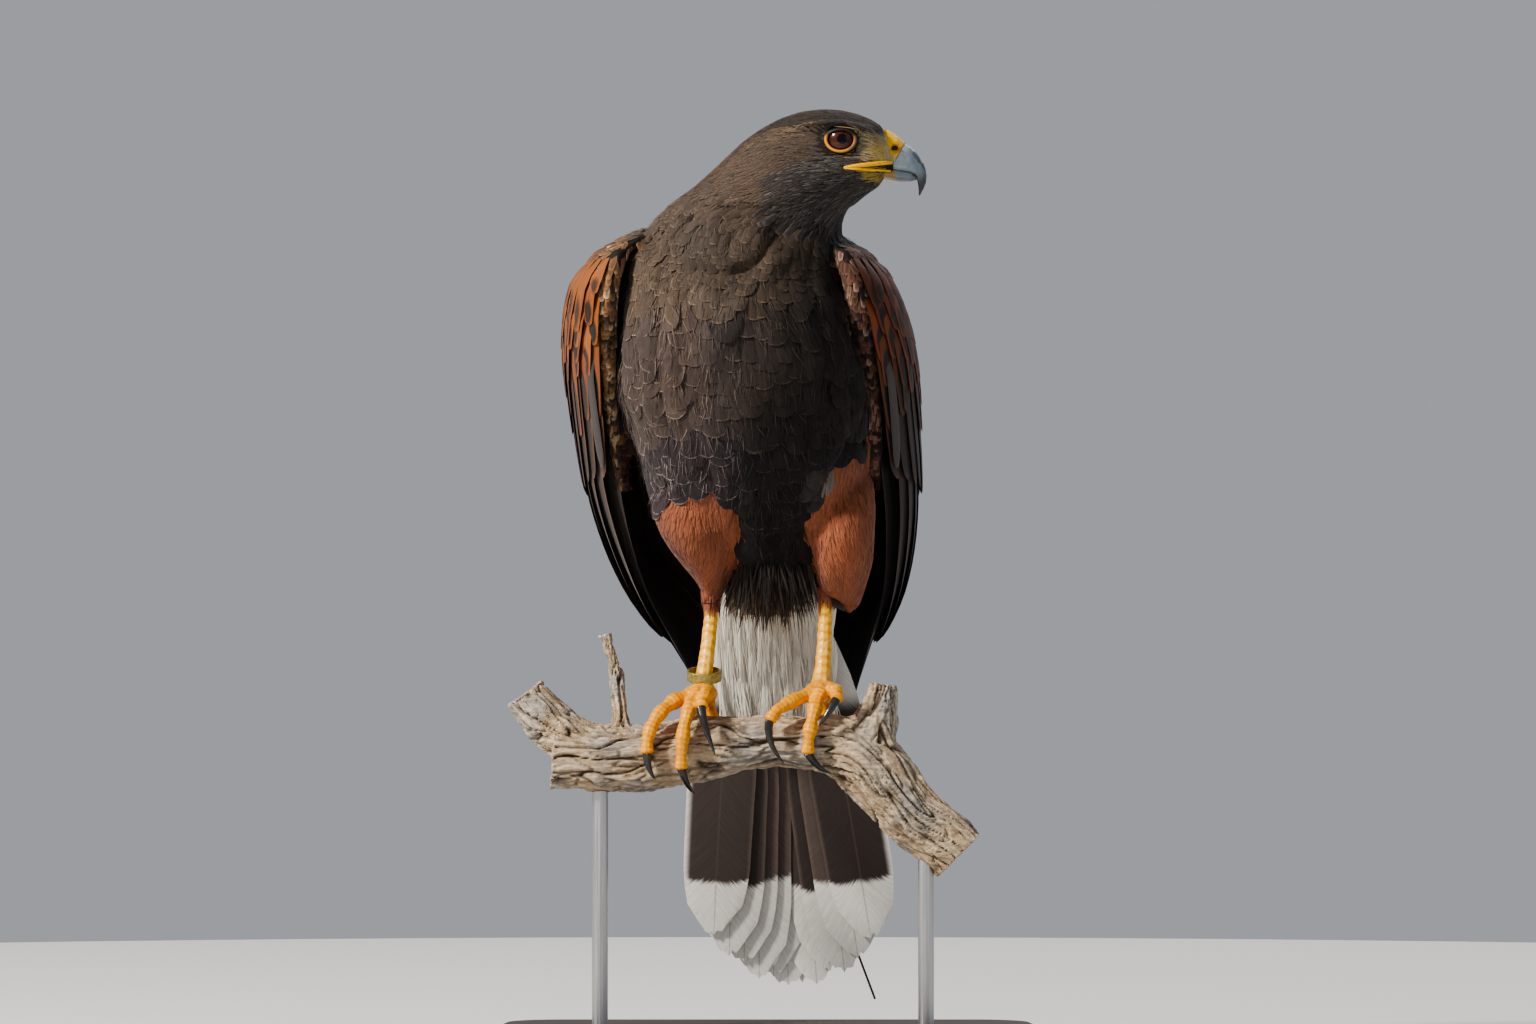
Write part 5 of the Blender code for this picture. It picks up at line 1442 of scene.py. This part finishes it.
wingGroups = {
    "Flight": {
        "tiers": ("primaries", "secondaries", "greaterCoverts"),
        "template": "long",
        "feather": "flightFeather",
        "outlineAt": (0.0, 0.3, 0.66, 0.88, 0.96, 1.0),
        "outline": (0.62, 0.95, 1.0, 0.86, 0.66, 0.40),
        "round": 0.5,
        "thick": 0.3,
        "notch": 0.010,
    },
    "Coverts": {
        "tiers": ("medianCoverts", "lesserFirst", "lesserSecond", "lesserThird", "lesserFourth"),
        "template": "middle",
        "feather": "covertFeather",
        "outlineAt": (0.0, 0.3, 0.6, 1.0),
        "outline": (0.5, 0.9, 1.0, 0.86),
        "round": 1.0,
        "thick": 0.2,
        "notch": 0.02,
    },
}
wingBlade = {
    "root": (357.0, 0.075),
    "tip": (298.0, 0.045),
    "half": 3.2,
    "over": 1.0,
    "tone": (0.055, 0.048, 0.045),
}
wingSteps = {"stack": 0.6, "dip": 1.1, "sink": 3.0, "rise": 12.5, "leftShade": (0.50, 0.42, 0.50)}


def framesOf(spine, upHint):
    along = unit(np.gradient(spine, axis=1))
    side = unit(np.cross(along, upHint))
    return side, unit(np.cross(side, along))


def tierVanes(side, tierName, rows, random):
    # the spines of one tier of feathers over the wing, each edge dipping under the next feather
    count, root, tips, roots, ends, half, depth = wingTiers[tierName]
    centre, fringe, start = tierTones[tierName]
    form = wingSteps
    stacked = tierName == "primaries"
    loose = 1.0 if root < 363 else 3.0
    found = []
    for k in range(count):
        q = k / (count - 1)
        tip = between(tips, q)
        if stacked:
            tip += 14.0 * (1 - q) ** 3 - 6.0 * math.sin(math.pi * q)
        tip += random.normal(0, 1.2 * loose)
        shares = (between(roots, q), between(ends, q) + random.normal(0, 0.005 * loose))
        level = depth + (k * form["stack"] if stacked else 0.0) + random.normal(0, 0.08)
        spine, hint = [], []
        for share in rows:
            z, at = between((root, tip), share), between(shares, share)
            sink = form["sink"] * max(0.0, 1 - share * (root - tip) / form["rise"])
            spacing = (roots[1] - roots[0]) / (count - 1) * wingRound(z)
            tilt = 0.0 if stacked else form["dip"] / max(spacing, 2.0)
            out = wingPlace(side, z, at, 10.0 - level) - wingPlace(side, z, at, -level)
            back = wingPlace(side, z, at, -level, 3.0) - wingPlace(side, z, at, -level, -3.0)
            spine.append(wingPlace(side, z, at, -level - sink))
            hint.append(out.normalized() + back.normalized() * tilt)
        vary = random.normal(1.0, 0.14) * (np.array(form["leftShade"]) if side == left else 1.0)
        width = half * random.normal(1.0, 0.03)
        found.append((spine, hint, width, np.array(centre) * vary, np.array(fringe) * vary, start))
    return found


def bladeVane(side, rows):
    # the smooth grey blade at the wrist, over the front of the wing
    blade = wingBlade
    spine, hint = [], []
    for share in rows:
        z, at = (between(ends, share) for ends in zip(blade["root"], blade["tip"]))
        over = blade["over"] * min(1.0, share * 4) - 1.5 * max(0.0, 1 - share * 5)
        spine.append(wingPlace(side, z, at, over))
        hint.append((wingPlace(side, z, at, 5.0) - wingPlace(side, z, at, 0.0)).normalized())
    return spine, hint, blade["half"], np.array(blade["tone"]), np.array(blade["tone"]) * 2.0, 0.93


def makeWing(side):
    label = labels[side]
    random = np.random.default_rng(40 + side)
    for name, group in wingGroups.items():
        rows = templates[group["template"]]["levels"]
        found = [vane for tierName in group["tiers"] for vane in tierVanes(side, tierName, rows, random)]
        nodes = ()
        if name == "Flight":
            found.append(bladeVane(side, rows))
            nodes = (f"wing_{label.lower()}",)
        spine, hint, half, centre, fringe, start = (np.array(values) for values in zip(*found))
        cells, size = gridCells(len(spine))
        vanes = {
            **group,
            "frames": (spine, *framesOf(spine, hint)),
            "half": half,
            "cup": 0.10,
            "fray": 0.004,
            "luck": random.random(len(spine)),
            "tones": (centre, fringe),
            "fringe": start,
            "patch": cells,
            "patchSize": size,
        }
        material = feathers[group["feather"]]
        growVanes(f"wing{name}{label}", group["template"], vanes, material, nodes)


tailForm = {
    "root": (1.0, 64.0, 250.0),
    "way": (0.058, 0.30, -0.952),
    "length": 228.0,
    "feathers": 12,
    "half": 17.5,
    "layer": 0.9,
    "shorter": {right: 2.5, left: 0.6},
    "rounded": 0.78,
    "worn": {right: (0.0, -3.0, 1.5, -2.0, 1.0, -1.5), left: (-1.5, 0.5, -3.5, 1.0, -1.0, -4.0)},
    "spread": (2.4, 7.3),
    "bandZ": 88.0,
    "outlineAt": (0.0, 0.12, 0.3, 0.55, 0.86, 0.955, 1.0),
    "outline": (0.34, 0.42, 0.82, 1.0, 0.97, 0.78, 0.45),
}


def tailPlace(along, across, up):
    way = Vector(tailForm["way"]).normalized()
    aside = (Vector((1, 0, 0)) - way * way.x).normalized()
    back = aside.cross(way)
    if back.y < 0:
        back = -back
    return Vector(tailForm["root"]) + way * along + aside * across + back * up


def tailWays():
    # unit steps down the tail, across it and out of its back
    start = tailPlace(0, 0, 0)
    return [tailPlace(*step) - start for step in ((1, 0, 0), (0, 1, 0), (0, 0, 1))]


def tailMaterial():
    fixed = {"Specular_IOR_Level": 0.3, "Sheen_Weight": 0.1, "Sheen_Roughness": 0.5}
    material, tree, shader = newMaterial("tailFeather", 0.5, **fixed)
    across, along, luck, off = vaneParts(tree)
    slanted = less(tree, along, times(tree, off, 0.12))
    streak = barbNoise(tree, across, slanted, luck, 160.0, 0.6)
    jitter = times(tree, less(tree, streak, 0.5), 0.03)
    level = plus(tree, slanted, times(tree, off, 0.105))
    reach = plus(tree, plus(tree, level, jitter), times(tree, less(tree, luck, 0.5), 0.02))
    past = less(tree, reach, attributeOf(tree, "fringe", "Fac"))
    tip = ramp(tree, past, -0.008, 0.012)
    base = ramp(tree, reach, 0.30, 0.36, 1.0, 0.0)
    outer = ramp(tree, attributeOf(tree, "margin", "Fac"), 0.62, 0.82)
    margin = times(tree, outer, ramp(tree, reach, 0.35, 0.55))
    white = calc(tree, "MAXIMUM", calc(tree, "MAXIMUM", tip, base), margin)
    dark = mixTones(tree, ramp(tree, luck, 0.2, 0.9), (0.040, 0.030, 0.028), (0.095, 0.074, 0.066))
    dark = mixTones(tree, times(tree, ramp(tree, off, 0.86, 1.0), 0.6), dark, (0.16, 0.12, 0.10))
    tone = mixTones(tree, white, dark, (0.78, 0.76, 0.72))
    shaded = scaledTone(tree, tone, ramp(tree, streak, 0.2, 0.8, 0.85, 1.12))
    shaft = times(tree, ramp(tree, off, 0.015, 0.035, 1.0, 0.0), 0.35)
    finishMaterial(tree, shader, mixTones(tree, shaft, shaded, (0.12, 0.09, 0.07)), streak, 0.08)
    return material


def makeTail():
    form = tailForm
    rows = templates["long"]["levels"]
    spines = []
    for side in (right, left):
        for pair in range(form["feathers"] // 2):
            length = form["length"] - form["shorter"][side] * pair - form["rounded"] * pair**2
            length += form["worn"][side][pair]
            layer = -form["layer"] * (2 * pair + (0 if side == left else 1))
            spine = []
            for share in rows:
                aside = side * between(form["spread"], share**0.7) * (pair + 0.5)
                sag = -0.0009 * (aside * share) ** 2
                spine.append(tailPlace(6 + (length - 6) * share, aside, layer + sag))
            spines.append(spine)
    spine = np.array(spines)
    hint = np.broadcast_to(-np.array(tailWays()[2]), spine.shape)
    count = len(spine)
    cells, size = gridCells(count)
    random = np.random.default_rng(5)
    band = np.array([np.interp(-form["bandZ"], -line, rows) for line in spine[:, :, 2]])
    vanes = {
        "frames": (spine, *framesOf(spine, hint)),
        "half": form["half"],
        "outlineAt": form["outlineAt"],
        "outline": form["outline"],
        "cup": 0.03,
        "round": 0.5,
        "thick": 0.3,
        "fray": 0.004,
        "notch": 0.012,
        "fringe": band + random.normal(0, 0.008, count),
        "luck": random.random(count),
        "tones": (np.full((count, 3), 0.03), np.full((count, 3), 0.05)),
        "margin": np.array([0.8 * (k % 6 == 5) * (1 if k < 6 else -1) for k in range(count)]),
        "patch": cells,
        "patchSize": size,
    }
    growVanes("tailFeathers", "long", vanes, tailMaterial(), ["tail"])


tailCovertSettings = {
    "under": {
        "seed": 3,
        "rows": 13,
        "each": 19,
        "along": (2.0, 50.0),
        "level": (-31.0, -15.0),
        "core": -13.0,
        "end": -13.4,
        "sign": -1,
        "length": 42.0,
        "half": 3.3,
        "spread": 29.5,
    },
    "upper": {
        "seed": 4,
        "rows": 6,
        "each": 11,
        "along": (8.0, 42.0),
        "level": (10.0, 3.0),
        "core": 0.0,
        "end": 2.8,
        "sign": 1,
        "length": 36.0,
        "half": 5.0,
        "spread": 20.0,
    },
}
undertailSettings = {
    "count": 3000,
    "lobes": 5,
    "long": (32.0, 6.0),
    "half": 0.20,
    "bow": 1.0,
    "feather": "whiteFeather",
    "tones": ((0.82, 0.79, 0.70), (0.92, 0.90, 0.82)),
}


def makeTailCoverts(which, name, node):
    form = tailCovertSettings[which]
    random = np.random.default_rng(form["seed"])
    rows = templates["small"]["levels"]
    sign, core = form["sign"], form["core"]
    _, aside, back = tailWays()
    spines, hints = [], []
    for r in range(form["rows"]):
        q = r / (form["rows"] - 1)
        start = between(form["along"], q)
        for k in range(form["each"]):
            p = 2 * (k + 0.5 * (r % 2)) / (form["each"] - 0.5) - 1
            p += random.normal(0, 0.03)
            bulge = between(form["level"], q)
            first = core + (bulge - core) * math.sqrt(max(0.0, 1 - (0.85 * p) ** 2))
            reach = form["length"] * random.normal(1.0, 0.06) * (1 - 0.25 * p * p)
            last = form["end"] + sign * 1.4 * random.random()
            spine = []
            for share in rows:
                level = first + (last - first) * share**1.4 + sign * 2.4 * math.sin(math.pi * share)
                spine.append(tailPlace(start + reach * share, form["spread"] * p * (1 - 0.1 * share), level))
            spines.append(spine)
            hints.append([back * sign + aside * p * 0.8] * len(rows))
    spine, hint = np.array(spines), np.array(hints)
    count = len(spine)
    vary = random.normal(1.0, 0.06, (count, 1)) * np.array((1.0, 0.99, 0.96))
    even = np.linspace(0.1, 0.9, count)
    vanes = {
        "frames": (spine, *framesOf(spine, hint)),
        "half": form["half"],
        "outlineAt": (0.0, 0.25, 0.6, 0.85, 1.0),
        "outline": (0.30, 0.85, 1.0, 0.70, 0.22),
        "cup": 0.14,
        "round": 0.8,
        "thick": 0.2,
        "fray": 0.05,
        "notch": 0.14,
        "luck": random.random(count),
        "tones": (np.array((0.70, 0.67, 0.60)) * vary, np.array((0.86, 0.85, 0.80)) * vary),
        "fringe": 0.35,
        "patch": freeCells(columns(even, even)),
    }
    growVanes(name, "small", vanes, feathers["whiteFeather"], [node])
    if which == "under":
        makeUndertailStrands(random)


def makeUndertailStrands(random):
    # loose white strands over the undertail plumes, gathered in soft lobes
    form, under = undertailSettings, tailCovertSettings["under"]
    roots, outward, ways, shade = [], [], [], []
    down, aside, back = tailWays()
    first, last = under["along"]
    for _ in range(form["count"]):
        p = random.uniform(-0.98, 0.98)
        q = random.random() ** 0.8
        part = (p + 1) / 2 * form["lobes"] + 0.5 * (int(q * 4) % 2)
        off = 2 * (part - math.floor(part)) - 1
        bulge = between(under["level"], min(q * 1.2, 1.0))
        level = under["core"] + (bulge - under["core"]) * math.sqrt(1 - (0.85 * p) ** 2)
        level = level - 2.4 - 1.6 * q - 2.4 * (1 - off * off)
        roots.append(tailPlace(first + (last - first + 6.0) * q, under["spread"] * p, level))
        outward.append((-back + aside * (p * 0.8 + off * 0.5)).normalized())
        drift = random.normal(0, 0.06) - 0.10 * p - 0.17 * off
        ways.append(down + back * (0.10 + 0.22 * (1 - q)) + aside * drift)
        # painted shade: strands darker towards each lobe's sides, where the lobes meet
        shade.append(1.0 - 0.20 * off * off)
    roots, outward, ways = np.array(roots), np.array(outward), unit(np.array(ways))
    vary = random.normal(1.0, 0.05, (len(roots), 1)) * np.array(shade)[:, None]
    tones = [np.array(tone) * vary for tone in form["tones"]]
    lengths = random.normal(*form["long"], len(roots))
    growStrands("undertailStrands", random, roots, outward, ways, lengths, form, tones, 0.5)


# Feet, claws, perch, stand and leg band

footSettings = {
    "voxel": 0.55,
    "scute": 2.5,
    "groove": 0.34,
    "joint": 0.45,
    "fold": 0.28,
    "sink": 0.22,
    "yellow": (0.86, 0.42, 0.010),
    "orange": (0.82, 0.30, 0.006),
    # pale: used below as painted highlight on the plates and down the front of the tarsi
    "pale": (0.90, 0.58, 0.13),
    "seam": (0.50, 0.18, 0.006),
    "ankle": (0.72, 0.34, 0.07),
    "ankles": ((-33.0, 0.5, 186.5), (26.6, 0.5, 187.5)),
    "perchHeight": 159.0,
}
footLines = {  # tarsi first, then the toes from the ankle to the claw
    right: (
        (
            (-28.0, 13.0, 246.0), (-28.4, 11.5, 226.0), (-30.3, 8.0, 207.0),
            (-31.8, 5.0, 195.0), (-32.6, 2.6, 189.0),
        ),
        ((-31.5, 7.0, 185.5), (-29.5, 15.5, 181.5), (-28.0, 21.5, 172.0)),
        ((-31.5, -5.0, 185.0), (-31.8, -12.0, 184.0), (-33.2, -18.5, 180.0)),
        (
            (-35.0, -5.0, 185.0), (-38.5, -13.5, 180.0), (-41.8, -20.5, 169.0),
            (-43.0, -21.5, 158.0), (-43.2, -20.0, 149.5),
        ),
        (
            (-38.0, -2.5, 185.0), (-47.5, -8.5, 181.5), (-56.0, -16.5, 173.5),
            (-60.0, -20.5, 163.5), (-60.2, -20.5, 157.0),
        ),
    ),
    left: (
        (
            (29.2, 13.0, 246.0), (28.8, 11.5, 226.0), (28.0, 8.0, 207.0),
            (27.2, 5.0, 196.0), (26.6, 2.6, 190.0),
        ),
        ((27.5, 7.0, 186.5), (28.8, 14.5, 183.0), (29.5, 20.0, 173.5)),
        ((22.5, -3.5, 186.0), (13.5, -10.5, 182.5), (5.0, -16.5, 178.0), (1.2, -18.5, 173.0)),
        ((26.0, -5.5, 185.5), (23.4, -13.5, 178.5), (20.8, -18.6, 167.0), (19.8, -17.8, 157.0)),
        ((31.0, -2.5, 187.0), (33.6, -9.0, 187.0), (34.2, -15.0, 183.5)),
    ),
}


def nearestOnLine(points, line):
    # how far each point is from a line, its place along the line, its offset, and the line's length
    line = np.array(line)
    best = np.full(len(points), 1e9)
    along, offset = np.zeros(len(points)), np.zeros_like(points)
    start = 0.0
    for a, b in zip(line, line[1:]):
        way = b - a
        run = np.linalg.norm(way)
        share = np.clip(((points - a) @ way) / run**2, 0, 1)
        gap = points - a - share[:, None] * way
        far = np.linalg.norm(gap, axis=1)
        closer = far < best
        best = np.where(closer, far, best)
        along = np.where(closer, start + share * run, along)
        offset = np.where(closer[:, None], gap, offset)
        start += run
    return best, along, offset, start


def pickNearest(candidates):
    # of the rows of values that each line gives, those of the line with the smallest first value
    rows = [np.array(values) for values in zip(*candidates)]
    nearest = rows[0].argmin(axis=0)[None]
    return [np.take_along_axis(row, nearest, axis=0)[0] for row in rows]


def makeFeet():
    form = footSettings
    names = ("right", "left")
    nodes = [f"tarsus_{name}" for name in names]
    nodes += [f"toe_{name}_{digit}" for name in names for digit in (1, 2, 3, 4)]
    feet = smoothCopy("feet", nodes, form["voxel"], 5, 0.35)
    mesh = feet.data
    points, normals = pointsOf(mesh), normalsOf(mesh)
    x, y, z = points.T
    found = []
    for side in (right, left):
        for k, line in enumerate(footLines[side]):
            isLeg = k == 0
            gap, along, _, length = nearestOnLine(points, smoothPath(line, 24))
            gap = gap + (1.5 if isLeg else 0.0) * (z < 190)
            pitch = form["scute"] * (1.75 if isLeg else 1.0)
            wave = np.abs(np.sin(np.pi * (along + 0.8 * k) / pitch)) ** 0.35
            if isLeg:
                facing = stepUp(0.1, 0.7, -normals[:, 1] + 0.25 * side * normals[:, 0])
            else:
                away = unit(columns(0 * x, y, z - form["perchHeight"]))
                facing = stepUp(0.0, 0.55, (normals * away).sum(axis=1))
            bulge = np.cos(2 * np.pi * along / (length / max(k, 1))) * (k > 0)
            found.append((gap, wave, facing, bulge, np.full(len(points), float(isLeg))))
    _, plate, upper, joint, leg = pickNearest(found)
    fold = noiseAt(points, 2.3)
    raised = form["groove"] * (plate - 1.0) * upper + form["joint"] * joint * (1 - leg)
    raised = raised + form["fold"] * fold * (1 - upper) - form["sink"]
    placePoints(mesh, points + normals * raised[:, None])
    tones = blendTones(form["orange"], form["yellow"], leg * 0.9 + 0.35 * upper)
    # painted highlight: pale on the crest of each plate on the upper side
    tones = blendTones(tones, form["pale"], (0.12 + 0.3 * leg) * upper * stepUp(0.75, 1.0, plate))
    hubs = [stepUp(11.0, 5.0, np.linalg.norm(points - np.array(ankle), axis=1)) for ankle in form["ankles"]]
    tones = blendTones(tones, form["ankle"], np.maximum(*hubs) * 0.7)
    tones = blendTones(tones, form["seam"], (1 - plate) * upper * 0.8)
    # painted highlights: pale blotches down the front of the tarsi
    tones = blendTones(tones, form["pale"], leg * upper * stepUp(0.12, 0.3, noiseAt(points, 3.1)) * 0.8)
    dressPiece(feet, toneMaterial("footScales", 0.42, 330.0, 0.055, 0.10, 650.0), tones)


def makeClaws():
    nodes = [f"claw_{name}_{digit}" for name in ("right", "left") for digit in (1, 2, 3, 4)]
    claws = smoothCopy("clawHorn", nodes, 0.38, 3)
    tones = np.full((len(claws.data.vertices), 3), (0.020, 0.019, 0.021))
    dressPiece(claws, toneMaterial("clawPolish", 0.24, 300.0, 0.05, 0.4), tones)


barkSettings = {
    "voxel": 0.9,
    "crack": 2.3,
    "lump": 1.5,
    "pale": (0.60, 0.50, 0.37),
    "tan": (0.40, 0.30, 0.20),
    "grey": (0.30, 0.27, 0.24),
    # deep: painted shade for the cracks
    "deep": (0.035, 0.022, 0.014),
    "line": (
        (-125.0, 0.0, 155.0),
        (-84.0, 0.0, 153.5),
        (-34.0, 0.0, 157.5),
        (-9.0, 0.0, 161.0),
        (16.0, 0.0, 161.0),
        (36.0, 0.0, 159.0),
        (50.0, 0.0, 151.5),
        (61.0, 0.0, 138.0),
        (73.0, 0.0, 125.5),
        (85.5, 0.0, 115.0),
        (110.0, 0.0, 92.0),
    ),
    "stubs": (
        ((50.0, 0.0, 160.0), (54.0, 1.0, 172.0), (57.5, 2.0, 195.0)),
        ((-88.0, 0.0, 156.0), (-104.0, 0.0, 166.0), (-114.0, -1.0, 176.0), (-126.0, -1.0, 192.0)),
        ((-73.0, 2.0, 168.0), (-74.0, 3.0, 176.0), (-75.5, 4.0, 194.0), (-82.0, 5.0, 218.0)),
    ),
}


def makePerch():
    form = barkSettings
    perch = smoothCopy("deadBranch", ["perch"], form["voxel"], 2, 0.4)
    mesh = perch.data
    points, normals = pointsOf(mesh), normalsOf(mesh)
    found = []
    for k, line in enumerate((form["line"],) + form["stubs"]):
        gap, place, offset, _ = nearestOnLine(points, smoothPath(line, 40))
        angle = np.arctan2(offset[:, 1], offset[:, 2] + offset[:, 0])
        found.append((gap + (0.0 if k == 0 else 3.0), place + 300.0 * k, angle))
    best, along, turn = pickNearest(found)
    radius = np.clip(best, 3.0, 17.0)
    spots = columns(along / 21.0, np.cos(turn) * radius / 3.6, np.sin(turn) * radius / 3.6)
    twist = noiseAt(points, 26.0)
    spots[:, 1] += twist * 2.2
    fine = noiseAt(spots, 1.0)
    wide = np.array([noise.noise(Vector(p) * 0.45 + Vector((7.0, 0.0, 0.0))) for p in spots.tolist()])
    tiny = noiseAt(spots * np.array((3.0, 2.4, 2.4)), 1.0)
    lump = noiseAt(points, 13.0)
    crack = np.clip(np.exp(-((fine / 0.075) ** 2)) * 0.55 + np.exp(-((wide / 0.05) ** 2)), 0, 1)
    ends = stepUp(-127.0, -122.0, points[:, 0]) * stepUp(104.0, 99.0, points[:, 0])
    raised = -form["crack"] * crack * (0.3 + 0.7 * ends) + form["lump"] * (lump - 0.35) + 0.7 * tiny - 0.2
    held = heldShare(points)
    raised = raised * (1 - held) + (-0.35 - 0.5 * crack) * held
    raised = np.maximum(raised, -0.45 * radius)
    placePoints(mesh, points + normals * raised[:, None])
    tones = blendTones(form["tan"], form["grey"], stepUp(-0.25, 0.35, twist + 0.5 * lump))
    tones = blendTones(tones, form["pale"], stepUp(-0.15, 0.45, tiny + 0.6 * fine) * 0.75)
    # painted shade: near black down in the cracks
    dressPiece(perch, barkMaterial(), blendTones(tones, form["deep"], crack * 0.9))


def heldShare(points):
    # where toes, claws and rods touch the branch, its bark stays flat under them
    share = np.zeros(len(points))
    names = [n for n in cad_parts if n.startswith(("toe_", "claw_", "stand_rod"))]
    for name in names:
        low, high = (np.array(corner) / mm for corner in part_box(name))
        near = ((points > low - 6) & (points < high + 6)).all(axis=1)
        if not near.any():
            continue
        tree = meshTree(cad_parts[name].data)
        gaps = np.array([tree.find_nearest(Vector(p) * mm)[3] / mm for p in points[near].tolist()])
        share[near] = np.maximum(share[near], stepUp(5.0, 1.5, gaps))
    return share


def barkMaterial():
    material, tree, shader = newMaterial("deadWood", 0.88, Specular_IOR_Level=0.15)
    place = objectPlace(tree)
    grain = noiseOf(tree, stretched(tree, place, (90.0, 620.0, 620.0)), 1.0, 6.0, 0.65)
    pit = noiseOf(tree, place, 420.0, 4.0, 0.6)
    shade = times(tree, ramp(tree, grain, 0.3, 0.7, 0.68, 1.3), ramp(tree, pit, 0.3, 0.7, 0.85, 1.15))
    tone = scaledTone(tree, attributeOf(tree, "tone"), shade)
    finishMaterial(tree, shader, tone, plus(tree, grain, pit), 0.5)
    return material


grainedLooks = {  # two tones, stretch, roughness, metallic, depth
    "stainedWood": ((0.030, 0.019, 0.013), (0.065, 0.040, 0.026), (14.0, 210.0, 210.0), 0.42, 0.0, 0.12),
    "brushedSteel": ((0.46, 0.46, 0.47), (0.60, 0.60, 0.61), (900.0, 900.0, 16.0), 0.34, 1.0, 0.05),
    "blackRubber": ((0.012, 0.012, 0.013), (0.030, 0.029, 0.029), (500.0, 500.0, 500.0), 0.6, 0.0, 0.1),
    "wornBand": ((0.22, 0.18, 0.045), (0.46, 0.40, 0.15), (420.0, 420.0, 420.0), 0.42, 0.75, 0.15),
}


def grainedMaterial(name):
    # two tones in long streaks along the piece, with the same streaks felt in its surface
    first, second, stretch, roughness, metallic, depth = grainedLooks[name]
    material, tree, shader = newMaterial(name, roughness, Metallic=metallic, Specular_IOR_Level=0.4)
    grain = noiseOf(tree, stretched(tree, objectPlace(tree), stretch), 1.0, 4.0, 0.62)
    rough = ramp(tree, grain, 0.25, 0.75, roughness - 0.06, roughness + 0.08)
    tree.links.new(rough, shader.inputs["Roughness"])
    tone = mixTones(tree, ramp(tree, grain, 0.3, 0.7), first, second)
    finishMaterial(tree, shader, tone, grain, depth)
    return material


standLooks = {
    "stainedWood": ("stand_base",),
    "brushedSteel": ("stand_rod_left", "stand_rod_right"),
    "blackRubber": ("tail_radio", "tail_aerial"),
}


def makeStand():
    for looks, nodes in standLooks.items():
        material = grainedMaterial(looks)
        for name in nodes:
            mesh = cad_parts[name].data
            mesh.materials.clear()
            mesh.materials.append(material)
        print(looks, *nodes)


def makeBand():
    # the leg band, its edges rounded, worn olive gold
    dressPiece(smoothCopy("legBandWorn", ["leg_band"], 0.3, 3, 0.05), grainedMaterial("wornBand"))


makeCamera()
makeStage()
makeLights()
skin, skinTag = makeSkin()
skinAt = makeCoat(skin, skinTag)
makeWisps(skin, skinTag, skinAt)
makeBellyFringe(skin, skinTag)
makeSocks()
waxySkin = makeBill()
eyeGloss = eyeMaterial()
for side in (right, left):
    makeEye(side, eyeGloss)
for side in (right, left):
    makeLids(side, waxySkin)
makeFaceLines(skinAt[0], waxySkin)
for side in (right, left):
    makeWing(side)
makeTail()
makeTailCoverts("under", "undertailFeathers", "undertail_coverts")
makeTailCoverts("upper", "uppertailFeathers", "uppertail_coverts")
makeFeet()
makeClaws()
makePerch()
makeBand()
makeStand()
